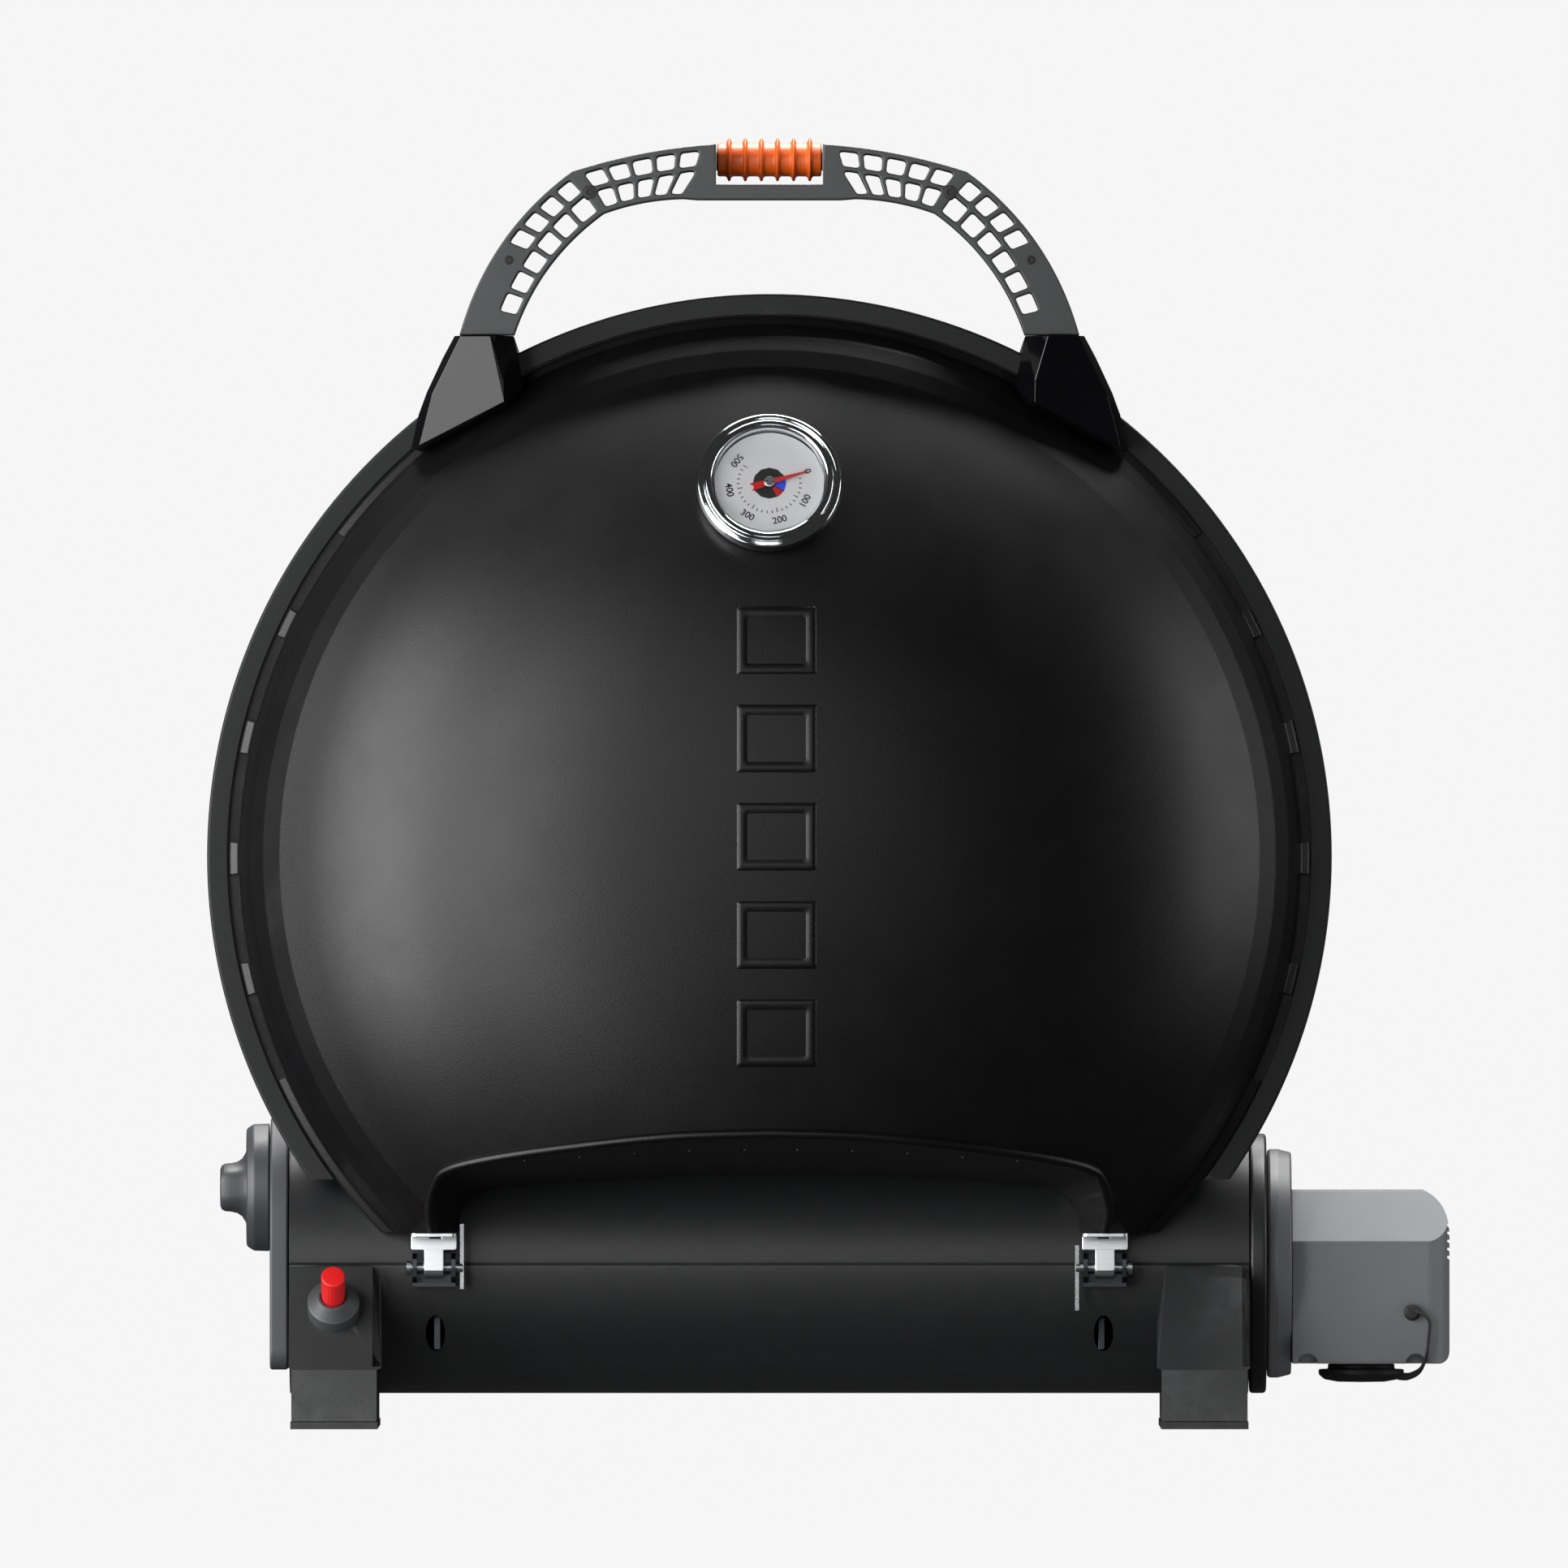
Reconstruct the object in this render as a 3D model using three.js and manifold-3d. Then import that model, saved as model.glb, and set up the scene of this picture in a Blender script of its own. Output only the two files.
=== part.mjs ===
// Portable tabletop gas grill: a round clamshell that stands upright on its feet to be carried and stored.
// Units are millimetres and +Z is up. While it is drawn, X is measured from the middle plane of the lid,
// Y from the plane where lid and bowl meet (the lid is on the -Y side), and Z from the floor.
// At the end everything moves so that the origin is the middle of the bottom of the bounding box.
import * as THREE from "three";
import { mergeVertices } from "three/addons/utils/BufferGeometryUtils.js";
import Module from "manifold-3d";

const wasm = await Module();
wasm.setup();

// ---------------------------------------------------------------- driving dimensions

const GAP = 0.4; // clearance between pieces that touch
const SHEET = 1.6; // thickness of the pressed steel shells
const ROUND = 60; // sides of the large round pieces
const BODY_Z = 239.7; // height of the middle of the round body

const LID = { r: 226.4, depth: 98, foot: 82.3, edge: -0.4 };
const ARCH = { half: 130, rise: 24.7, widen: 0.00298, lift: 0.00759 }; // cut-out over the tube; growth per mm of depth
const BOWL = { depth: 92, lip: 230, low: 226.2 };
const TRIM = { inner: 226.9, outer: 235.6, front: -3, back: 8, foot: 104.4 };
const TUBE = { r: 54.5, y: 54.5, z: 68.7, left: -201.3, right: 201, wall: 2 };
const HINGE = { x: 140.5, y: -6, z: 67.3, pin: 2 };
const FOOT = { inner: 164.4, outer: 200.1, front: -27.4, back: 136.4, low: 24.8, heelY: 109, pad: 3 };
const BLOCK = { inner: 162.5, outer: 201.2, face0: 166.2, face1: 197.9 };
const BUTTON = { x: -182.5, y: -12.3, z: 49, r: 5, out: 28.5, inner: 3.6, collar: 10.9 };
const HANDLE = { near: 0.4, far: 25, foot: 458, tenon: 8.6 };
const GRIP = { z: 531.5, r: 7, rib: 9.05, half: 21.8, bore: 5, pitch: 6.75, mouth: 65 };
const SKIRT_NOTCH = { first: -32, step: 12.9, half: 19, reach: 6, front: -7 }; // angles in degrees from level
const WALL_HOLES = [[11, 117.3], [34, 116.6], [57, 115], [80, 113], [103, 109.5]];
const GAUGE = { z: 393.2, tilt: 22 }; // thermometer: height of its middle, and its slope in degrees
const KNOB = { z: 100.6, r: 26.8, from: -209.8, to: -219.6, tip: -230.5, bar: 10, length: 24 };
const SWIVEL = { r: 48, from: 208.9, to: 219, housing: 220.8 };
const REGULATOR = { x1: 285.3, low: 26.9, top: 99.6, front: 18, back: 91, bevel: 21.6, portX: 248.5 };
const LEG = { x: 62, y: 99.5, z: 340, length: 36.9, half: 11 };
const BURNER = { y: 58, z: 250, ring: 100, r: 8.5, riser: -60 };
const ELECTRODE = { x: -38, y: 54.5 };

// ---------------------------------------------------------------- solids

// A geometry as a manifold-3d solid whose faces point outwards.
function solid(geometry) {
  const bare = new THREE.BufferGeometry();
  const flat = geometry.index ? geometry.toNonIndexed() : geometry;
  bare.setAttribute("position", flat.getAttribute("position").clone());
  const merged = mergeVertices(bare, 1e-3);
  const index = merged.index.array;
  const faces = [];
  for (let i = 0; i < index.length; i += 3) {
    const [a, b, c] = [index[i], index[i + 1], index[i + 2]];
    if (a !== b && b !== c && c !== a) faces.push(a, b, c);
  }
  const build = () =>
    new wasm.Manifold(
      new wasm.Mesh({
        numProp: 3,
        vertProperties: new Float32Array(merged.attributes.position.array),
        triVerts: new Uint32Array(faces),
      }),
    );
  const made = build();
  if (made.volume() > 0) return made;
  for (let i = 0; i < faces.length; i += 3) [faces[i], faces[i + 1]] = [faces[i + 1], faces[i]];
  return build();
}

const join = (...all) => all.reduce((a, b) => a.add(b));
const cut = (first, ...rest) => rest.reduce((a, b) => a.subtract(b), first);
const vector = (p) => new THREE.Vector2(...p);

// A box between two corners.
function box(x0, x1, y0, y1, z0, z1) {
  const g = new THREE.BoxGeometry(x1 - x0, y1 - y0, z1 - z0);
  return solid(g.translate((x0 + x1) / 2, (y0 + y1) / 2, (z0 + z1) / 2));
}

// A cylinder, or a cone if it has a second radius, along X, Y or Z at the place (u, v) on the other two axes.
function rod(axis, r, from, to, u, v, sides = 24, rTo = r) {
  const g = new THREE.CylinderGeometry(rTo, r, to - from, sides);
  const middle = (from + to) / 2;
  if (axis === "x") return solid(g.rotateZ(-Math.PI / 2).translate(middle, u, v));
  if (axis === "y") return solid(g.translate(u, middle, v));
  return solid(g.rotateX(Math.PI / 2).translate(u, v, middle));
}

// A closed profile of [radius, y] points turned about the Y axis.
function lathe(profile, sides) {
  const points = profile.map(vector);
  const first = points[0];
  if (first.x > 0 || points[points.length - 1].x > 0) points.push(first.clone());
  return solid(new THREE.LatheGeometry(points, sides));
}

// The same about the round body's own axis.
const turned = (profile, sides = ROUND) => lathe(profile, sides).translate([0, 0, BODY_Z]);

// An outline of [x, z] points pushed along Y.
function slab(outline, y0, y1, holes = []) {
  const path = (points) => points.map(([x, z]) => new THREE.Vector2(x, -z));
  const shape = new THREE.Shape(path(outline));
  shape.holes = holes.map((h) => new THREE.Path(path(h)));
  const g = new THREE.ExtrudeGeometry(shape, { depth: y1 - y0, bevelEnabled: false });
  return solid(g.rotateX(-Math.PI / 2).translate(0, y0, 0));
}

// An outline of [y, z] points pushed along X.
function beam(outline, x0, x1) {
  const g = new THREE.ExtrudeGeometry(new THREE.Shape(outline.map(vector)), { depth: x1 - x0, bevelEnabled: false });
  const turn = new THREE.Matrix4().makeBasis(
    new THREE.Vector3(0, 1, 0), new THREE.Vector3(0, 0, 1), new THREE.Vector3(1, 0, 0),
  );
  return solid(g.applyMatrix4(turn).translate(x0, 0, 0));
}

// Two rings of as many points each, skinned into a closed body.
function loft(first, last) {
  const n = first.length;
  const position = [];
  const face = (...p) => p.forEach((q) => position.push(...q));
  const middle = (ring) => [0, 1, 2].map((a) => ring.reduce((s, p) => s + p[a], 0) / n);
  for (let i = 0; i < n; i++) {
    const j = (i + 1) % n;
    face(first[i], first[j], last[j]);
    face(first[i], last[j], last[i]);
    face(first[j], first[i], middle(first));
    face(last[i], last[j], middle(last));
  }
  const g = new THREE.BufferGeometry();
  g.setAttribute("position", new THREE.Float32BufferAttribute(position, 3));
  return solid(g);
}

// A rod or strap that follows a smooth line through points, with the given cross-section.
function sweep(points, section, steps) {
  const line = new THREE.CatmullRomCurve3(points.map((p) => new THREE.Vector3(...p)));
  const shape = new THREE.Shape(section.map(vector));
  return solid(new THREE.ExtrudeGeometry(shape, { steps, extrudePath: line, bevelEnabled: false }));
}

// Points round a circle.
function circle(r, sides) {
  return Array.from({ length: sides }, (_, i) => {
    const a = (2 * Math.PI * i) / sides;
    return [r * Math.cos(a), r * Math.sin(a)];
  });
}

// Points of an arc from a to b that bows to the left by the given height.
function bow(a, b, height, steps) {
  const [dx, dz] = [b[0] - a[0], b[1] - a[1]];
  const length = Math.hypot(dx, dz);
  return Array.from({ length: steps + 1 }, (_, i) => {
    const t = i / steps;
    const out = 4 * height * t * (1 - t);
    return [a[0] + dx * t - (dz / length) * out, a[1] + dz * t + (dx / length) * out];
  });
}

// A line of points moved sideways by t, to the left of its direction. Points on the axis stay on it.
function offset(points, t) {
  return points.map((p, i) => {
    const a = points[Math.max(i - 1, 0)];
    const b = points[Math.min(i + 1, points.length - 1)];
    const length = Math.hypot(b[0] - a[0], b[1] - a[1]);
    const r = p[0] === 0 ? 0 : p[0] - (t * (b[1] - a[1])) / length;
    return [r, p[1] + (t * (b[0] - a[0])) / length];
  });
}

const mirrored = (points) => points.map(([x, z]) => [-x, z]).reverse();
const below = (z) => box(-300, 300, -150, 200, -60, z);

// ---------------------------------------------------------------- pieces and finishes

const grill = new THREE.Group();
const finishes = {};

function finish(name, color, roughness, metalness) {
  finishes[name] = new THREE.MeshStandardMaterial({ name, color, roughness, metalness });
}

finish("black_enamel", 0x1b1c1e, 0.45, 0.3);
finish("satin_black_paint", 0x242527, 0.55, 0.3);
finish("rim_grey", 0x2f3031, 0.6, 0);
finish("dark_plastic", 0x444547, 0.6, 0);
finish("gloss_plastic", 0x1a1b1d, 0.15, 0);
finish("grey_plastic", 0x6b6c6e, 0.55, 0);
finish("orange_plastic", 0xd95f0e, 0.5, 0);
finish("red_plastic", 0xb3191c, 0.4, 0);
finish("black_rubber", 0x0c0c0d, 0.7, 0);
finish("steel", 0xc9cbce, 0.25, 1);
finish("chrome", 0xe6e8ea, 0.08, 1);
finish("brass", 0xb08d3e, 0.3, 1);
finish("cast_iron", 0x1b1b1c, 0.75, 0.4);
finish("dial_silver", 0xbfc0c2, 0.6, 0);
finish("glass", 0xf2f6f8, 0.05, 0);
finish("ceramic", 0xece8df, 0.5, 0);

// Adds a solid to the grill as a named mesh.
function piece(name, body, material) {
  const m = body.getMesh();
  const g = new THREE.BufferGeometry();
  g.setAttribute("position", new THREE.Float32BufferAttribute(m.vertProperties, 3));
  g.setIndex(new THREE.BufferAttribute(m.triVerts, 1));
  g.computeVertexNormals();
  const mesh = new THREE.Mesh(g, finishes[material]);
  mesh.name = name;
  grill.add(mesh);
}

// Adds a piece on the right and its mirror image on the left.
function pair(name, body, material) {
  piece("right_" + name, body, material);
  piece("left_" + name, body.mirror([1, 0, 0]), material);
}

// ---------------------------------------------------------------- lid

// How far the lid's dome has fallen back from its top at a radius.
const fall = (r) => 0.000705 * r * r + 2e-8 * r ** 4;

// Outside profile of the lid: dome, shallow cove, shoulder and skirt.
const lidProfile = Array.from({ length: 8 }, (_, i) => {
  const r = (205 * i) / 7;
  return [r, fall(r) - LID.depth];
});
lidProfile.push([212, -27], [219, -21.6], [224, -17.4], [LID.r, -12], [LID.r, LID.edge]);

// Outline of the arched cut-out over the base tube at a depth below the rim, grown outwards by t.
function archRing(depth, t) {
  const half = [
    [130, 30], [130, 82.3], [128.9, 90.8], [123.8, 97.9], [117.6, 101], [100, 102.9], [63.4, 105], [32, 106.5], [0, 107],
  ];
  const sideways = ((1 + ARCH.widen * depth) * (ARCH.half + t)) / ARCH.half;
  const upwards = ((1 + ARCH.lift * depth) * (ARCH.rise + t)) / ARCH.rise;
  const ring = [...half, ...mirrored(half).slice(1)];
  return ring.map(([x, z]) => [x * sideways, -depth, LID.foot + (z - LID.foot) * upwards]);
}

const archRoom = (t) => loft(archRing(-3, t), archRing(110, t));
const insideLid = [...offset(lidProfile, SHEET), [LID.r - SHEET, 2], [0, 2]];
const lidHollow = cut(turned(insideLid), archRoom(SHEET), below(LID.foot + SHEET));
const gaugeUp = GAUGE.z - BODY_Z;
const gaugeY = fall(gaugeUp) - LID.depth;
const atGauge = (s) => s.rotate([-GAUGE.tilt, 0, 0]).translate([0, gaugeY, GAUGE.z]);
const lidVents = [];
// Five notches in the edge of the skirt on each side.
for (let i = 0; i < 5; i++) {
  const { first, step, half, reach, front } = SKIRT_NOTCH;
  const notch = box(LID.r - reach, LID.r + reach, front, 1, -half, half).rotate([0, first + step * i, 0]);
  const placed = notch.translate([0, 0, BODY_Z]);
  lidVents.push(placed, placed.mirror([1, 0, 0]));
}
// A row of holes in the sloping wall over the arch.
for (const [x, z] of WALL_HOLES)
  for (const side of [-x, x]) lidVents.push(rod("z", 1.5, z - 6, z + 6, side, -55, 8));
piece(
  "lid_shell",
  cut(
    turned([...lidProfile, [0, LID.edge]]), archRoom(0), below(LID.foot), lidHollow,
    atGauge(rod("y", 7, -20, 20, 0, 0, 20)), ...lidVents,
  ),
  "black_enamel",
);

// ---------------------------------------------------------------- bowl

// Outside profile of the bowl, from the middle of its floor to the lip.
const bowlProfile = [
  [0, 92], [98, 92], [130, 88.6], [160, 80], [186, 65.5], [204, 48], [214, 30], [219, 12], [220.4, 0],
];
const tubeRoom = (extra) => rod("x", TUBE.r + extra, -260, 260, TUBE.y, TUBE.z, 48);
// The same cut-out, run straight back through the bowl.
function straightArch(t) {
  const at = (y) => archRing(0, t).map(([x, , z]) => [x, y, z]);
  return loft(at(-5), at(130));
}
const insideBowl = [...offset(bowlProfile, -SHEET).slice(0, -1), [220.4 - SHEET, -2], [0, -2]];
const bowlHollow = cut(
  turned(insideBowl), tubeRoom(1.1 + SHEET), straightArch(SHEET), below(LID.foot + SHEET),
);
const lip = join(
  turned([[0, 0], [BOWL.low, 0], [BOWL.low, SHEET], [0, SHEET]]),
  cut(turned([[0, 0], [BOWL.lip, 0], [BOWL.lip, SHEET], [0, SHEET]]), below(TRIM.foot + GAP)),
);
const wireHole = rod("z", 2.4, 110, 140, ELECTRODE.x, ELECTRODE.y, 8);
const riserHole = rod("z", BURNER.r + 1, 110, 140, BURNER.riser, TUBE.y, 20);
const floorVents = [];
for (let i = 0; i < 6; i++)
  floorVents.push(box(66, 92, 88, 96, -3, 3).rotate([0, 60 * i, 0]).translate([0, 0, BODY_Z]));
piece(
  "base_bowl",
  cut(
    join(turned([...bowlProfile, [0, 0]]), lip), tubeRoom(1.1), straightArch(0), below(LID.foot), bowlHollow,
    wireHole, riserHole, ...floorVents,
  ),
  "black_enamel",
);

piece(
  "rim_trim",
  cut(
    turned([
      [TRIM.inner, TRIM.front], [TRIM.outer, TRIM.front], [TRIM.outer, TRIM.back], [TRIM.inner, TRIM.back],
      [TRIM.inner, 2], [BOWL.lip + GAP, 2], [BOWL.lip + GAP, -GAP], [TRIM.inner, -GAP],
    ], 72),
    below(TRIM.foot),
  ),
  "rim_grey",
);

// ---------------------------------------------------------------- base tube and its ends

const tubeVents = [-1, 1].map((side) => {
  const oval = new THREE.CylinderGeometry(1, 1, 40, 16).scale(4.1, 1, 7.5);
  return solid(oval.translate(side * 140, 5, 39.8));
});
const wireEntry = rod("y", 2.1, -3.4, 22, BUTTON.x + 0.35, 40.1, 7);
piece(
  "tube_housing",
  cut(
    rod("x", TUBE.r, TUBE.left, TUBE.right, TUBE.y, TUBE.z, 48),
    rod("x", TUBE.r - TUBE.wall, TUBE.left - 1, TUBE.right + 1, TUBE.y, TUBE.z, 48),
    wireHole, riserHole, wireEntry, ...tubeVents,
  ),
  "satin_black_paint",
);

const END_PLATE = { r: 50.5, z: 79.5, low: 24.5, corner: 34, flat: 44, from: -209.4, to: -201.7, bore: 4.5 };
const plateArc = circle(END_PLATE.r, 24).slice(0, 13).map(([y, z]) => [TUBE.y + y, END_PLATE.z + z]);
const plateSide = [
  ...plateArc, [TUBE.y - END_PLATE.r, END_PLATE.corner], [TUBE.y - END_PLATE.flat, END_PLATE.low],
  [TUBE.y + END_PLATE.flat, END_PLATE.low], [TUBE.y + END_PLATE.r, END_PLATE.corner],
];
piece(
  "knob_end_plate",
  cut(
    beam(plateSide, END_PLATE.from, END_PLATE.to),
    rod("x", END_PLATE.bore, END_PLATE.from - 3, END_PLATE.to + 2, TUBE.y, KNOB.z, 16),
  ),
  "dark_plastic",
);
const END_DISC = { from: 201.4, to: 208.5, bore: 8 };
piece(
  "right_end_disc",
  cut(
    rod("x", TUBE.r, END_DISC.from, END_DISC.to, TUBE.y, TUBE.z, 48),
    rod("x", END_DISC.bore, END_DISC.from - 1, END_DISC.to + 1, TUBE.y, TUBE.z, 20),
  ),
  "satin_black_paint",
);

// ---------------------------------------------------------------- feet

const slope = THREE.MathUtils.radToDeg(Math.atan2(-FOOT.front, TUBE.z - FOOT.low));
const footSide = [
  [0, TUBE.z], [FOOT.front, FOOT.low], [FOOT.front, FOOT.pad + 0.3], [FOOT.back, FOOT.pad + 0.3],
  [FOOT.back, FOOT.low], [FOOT.heelY, TUBE.z],
];
const footFront = [
  [FOOT.inner, 0], [FOOT.inner, FOOT.low], [BLOCK.inner, FOOT.low + 1], [BLOCK.inner, 90],
  [BLOCK.outer, 90], [BLOCK.outer, FOOT.low + 1], [FOOT.outer, FOOT.low], [FOOT.outer, 0],
];
// The sloping faces are narrower than the block behind them: a wedge comes off each long edge.
const draft = (side) => {
  const edge = [[BLOCK.inner - 9, 0], [BLOCK.face0, 0], [BLOCK.inner, 20], [BLOCK.inner - 9, 20]];
  const middle = (BLOCK.inner + BLOCK.outer) / 2;
  const shape = side < 0 ? edge : edge.map(([x, y]) => [2 * middle - x, y]).reverse();
  const wedge = new THREE.Shape(shape.map(vector));
  const g = new THREE.ExtrudeGeometry(wedge, { depth: 80, bevelEnabled: false }).translate(0, 0, -26);
  return solid(g).rotate([-slope, 0, 0]).translate([0, BUTTON.y, BUTTON.z]);
};
const foot = cut(
  beam(footSide, 150, 215).intersect(slab(footFront, -60, 180)),
  rod("x", TUBE.r + GAP, 100, 250, TUBE.y, TUBE.z, 48),
  cut(draft(-1), below(FOOT.low + 1.5)),
  cut(draft(1), below(FOOT.low + 1.5)),
);
// Turns a piece drawn along +Y so that it stands out of the left block's sloping face.
const onSlope = (s) => s.rotate([180 - slope, 0, 0]).translate([BUTTON.x, BUTTON.y, BUTTON.z]);
piece("right_foot_bracket", foot, "dark_plastic");
piece(
  "left_foot_bracket",
  cut(foot.mirror([1, 0, 0]), onSlope(rod("y", 6.6, -13.4, 4, 0, 0, 16)), wireEntry),
  "dark_plastic",
);
pair("foot_pad", box(FOOT.inner - 0.4, FOOT.outer + 0.4, FOOT.front - 0.3, FOOT.back - 0.4, 0, FOOT.pad), "black_rubber");

// ---------------------------------------------------------------- ignition button

piece(
  "igniter_collar",
  onSlope(cut(
    join(rod("y", BUTTON.collar, 0.4, 8.3, 0, 0, 28), rod("y", BUTTON.collar, 8.2, 12.5, 0, 0, 28, 6.4)),
    rod("y", BUTTON.r + 0.3, -1, 14, 0, 0, 20),
  )),
  "dark_plastic",
);
piece("igniter_button", onSlope(rod("y", BUTTON.r, BUTTON.inner, BUTTON.out, 0, 0, 24)), "red_plastic");
piece("igniter_module", onSlope(rod("y", 6.2, -13, -3.2, 0, 0, 14)), "black_rubber");

// ---------------------------------------------------------------- hinges

const pinHole = rod("x", HINGE.pin + 0.08, -20, 20, HINGE.y, HINGE.z, 16);
const cheek = [[-1.9, 61], [-1.9, 73.5], [-6, 73.3], [-9.4, 71], [-9.9, 67.3], [-9.4, 63.6], [-6, 61]];
const hingeBracket = cut(
  join(
    box(-9, 9, -1.9, -GAP, 59.5, 77.6), box(-9, 9, -7, -1.8, 59.5, 61.1),
    beam(cheek, -9, -7.2), beam(cheek, 7.2, 9),
  ),
  pinHole,
);
// The lid's leaf: a knuckle on the pin, a stem, a wide head, and a tab under the lid's lower edge.
const hingeLeaf = cut(
  join(
    rod("x", 4, -4, 4, HINGE.y, HINGE.z, 20),
    box(-4, 4, -11.1, -9.5, HINGE.z, 75), box(-4, 4, -10.5, HINGE.y, HINGE.z, HINGE.z + 1.6),
    box(-9.5, 9.5, -11.1, -9.5, 74.6, 82), box(-9.5, 9.5, -26, -9.6, 80.4, 82),
  ),
  pinHole,
  box(-3.1, 1.9, -12, -9, 79.7, 83),
);
const hingePin = join(
  rod("x", HINGE.pin, -12.1, 11.5, HINGE.y, HINGE.z, 16),
  rod("x", 3, 9.8, 11.5, HINGE.y, HINGE.z, 16),
);
pair("hinge_bracket", hingeBracket.translate([HINGE.x, 0, 0]), "steel");
pair("hinge_leaf", hingeLeaf.translate([HINGE.x, 0, 0]), "steel");
// Each pin carries an upright pull bar on its inner end; the right one hangs lower.
for (const [name, side, low, high] of [["left", -1, 58.5, 85.7], ["right", 1, 49.5, 76.8]]) {
  const bar = box(-12.5, -10.9, HINGE.y - 0.9, HINGE.y + 0.9, low, high);
  const pin = join(hingePin, bar).translate([HINGE.x, 0, 0]);
  piece(name + "_hinge_pin", side < 0 ? pin.mirror([1, 0, 0]) : pin, "steel");
}

// ---------------------------------------------------------------- carrying handles

// The handle's three rails on the left side, each a lower arc and an upper arc that meet at a kink.
const rails = {
  outer: [bow([-129.7, 458], [-82.6, 526.3], 7.2, 8), bow([-82.6, 526.3], [-23.5, 537.7], 1.9, 5)],
  middle: [bow([-117.2, 459.2], [-75.9, 518.6], 5.8, 8), bow([-75.9, 518.6], [-27.2, 528.2], 0.9, 5)],
  inner: [bow([-106.9, 458], [-69.3, 509], 5.1, 8), bow([-69.3, 509], [-36.1, 515.2], 1.4, 5)],
};

// A point on a rail, at a share t of one of its two arcs.
function along(rail, arc, t) {
  const line = rails[rail][arc];
  const place = Math.min(t * (line.length - 1), line.length - 1.0001);
  const i = Math.floor(place);
  const f = place - i;
  return [0, 1].map((k) => line[i][k] * (1 - f) + line[i + 1][k] * f);
}

// The cut-outs between two rails along one arc, moved in from each rail by half of the rail's thickness.
function windowRow(low, high, arc, count, from, to, rib, inset) {
  const pitch = (to - from + rib) / count;
  const ends = (t) => {
    const [a, b] = [along(low, arc, t), along(high, arc, t)];
    const span = Math.hypot(b[0] - a[0], b[1] - a[1]);
    const mix = (f) => [0, 1].map((k) => a[k] + (b[k] - a[k]) * f);
    return [mix(inset[0] / span), mix(1 - inset[1] / span)];
  };
  return Array.from({ length: count }, (_, i) => {
    const [a, b] = ends(from + pitch * i);
    const [c, d] = ends(from + pitch * (i + 1) - rib);
    return [a, b, d, c];
  });
}

const leftWindows = [
  ...windowRow("inner", "middle", 0, 6, 0.13, 0.972, 0.03, [2.2, 1]),
  ...windowRow("middle", "outer", 0, 4, 0.52, 0.965, 0.03, [1, 2.2]),
  ...windowRow("inner", "middle", 1, 5, 0.06, 0.95, 0.045, [2.2, 1]),
  ...windowRow("middle", "outer", 1, 5, 0.06, 0.92, 0.04, [1, 2.2]),
];
const NOTCH = { half: 22.4, foot: 521, under: 514.7 };
const leftEdge = [...rails.outer[0], ...rails.outer[1].slice(1), [-NOTCH.half, 537.9], [-NOTCH.half, NOTCH.foot]];
const leftInside = [...rails.inner[0], ...rails.inner[1].slice(1), [-30, NOTCH.under]];
const rightInside = leftInside.map(([x, z]) => [-x, z]);
const handleOutline = [...leftEdge, ...mirrored(leftEdge), ...rightInside, ...[...leftInside].reverse()];
const handleHoles = [...leftWindows, ...leftWindows.map(mirrored)];

// The two handles are alike. Each carries a part of the split bar that the lock sleeve turns on.
function handle(y0, y1, barFrom, barTo) {
  const bar = (reach) => rod("x", GRIP.bore - GAP, -NOTCH.half - reach, NOTCH.half + reach, 0, GRIP.z, 20);
  const half = join(
    bar(-GAP).intersect(box(-30, 30, barFrom, barTo, 500, 560)),
    bar(2).intersect(box(-30, 30, Math.max(barFrom, y0), Math.min(barTo, y1), 500, 560)),
  );
  const tenon = box(-127.5, -111, y0 + 4, y1 - 4, HANDLE.foot - HANDLE.tenon, HANDLE.foot + 1);
  return join(slab(handleOutline, y0, y1, handleHoles), half, tenon, tenon.mirror([1, 0, 0]));
}
piece("lid_handle", handle(-HANDLE.far, -HANDLE.near, -6, 1), "dark_plastic");
piece("base_handle", handle(HANDLE.near, HANDLE.far, 1.3, 6), "dark_plastic");

// Sockets hold the handles' ends: faceted blocks on the skirt of the lid and on the side of the bowl.
const lidSocket = [
  [131.8, 457.6], [136.7, 448.4], [143.5, 433.8], [146.9, 424.5], [150, 410.4], [139, 404], [104, 422],
  [102.7, 435.9], [107.1, 457.6],
];
const bowlSocket = [
  [131.8, 457.6], [136.7, 448.4], [143.5, 433.8], [146.9, 424.5], [150, 410.4], [128, 392], [92, 412],
  [99.8, 436], [107.1, 457.6],
];
const lidRoom = [...offset(lidProfile, -GAP), [LID.r + GAP, 6], [0, 6]];
const bowlRoom = [...offset(bowlProfile, GAP).slice(0, -1), [220.8, -1], [0, -1]];
const trimRoom = [
  [0, -6], [TRIM.outer + GAP, TRIM.front - GAP], [TRIM.outer + GAP, TRIM.back + GAP], [0, TRIM.back + GAP],
];
const tenonHole = (y0, y1) => box(110.7, 127.8, y0, y1, HANDLE.foot - HANDLE.tenon - GAP, 500);
const frontFacet = beam([[-40, 380], [-40, 470], [-29.5, 470], [-23, 400]], 90, 160);
const lidBlock = cut(slab(lidSocket, -29, -3.6), tenonHole(-21.3, -4.1), frontFacet);
const bowlBlock = cut(slab(bowlSocket, 3.6, 29), tenonHole(4.1, 21.3));
pair("lid_socket", cut(lidBlock, turned(lidRoom)), "gloss_plastic");
pair("base_socket", cut(bowlBlock, turned(bowlRoom), turned(trimRoom, 72)), "gloss_plastic");

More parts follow.
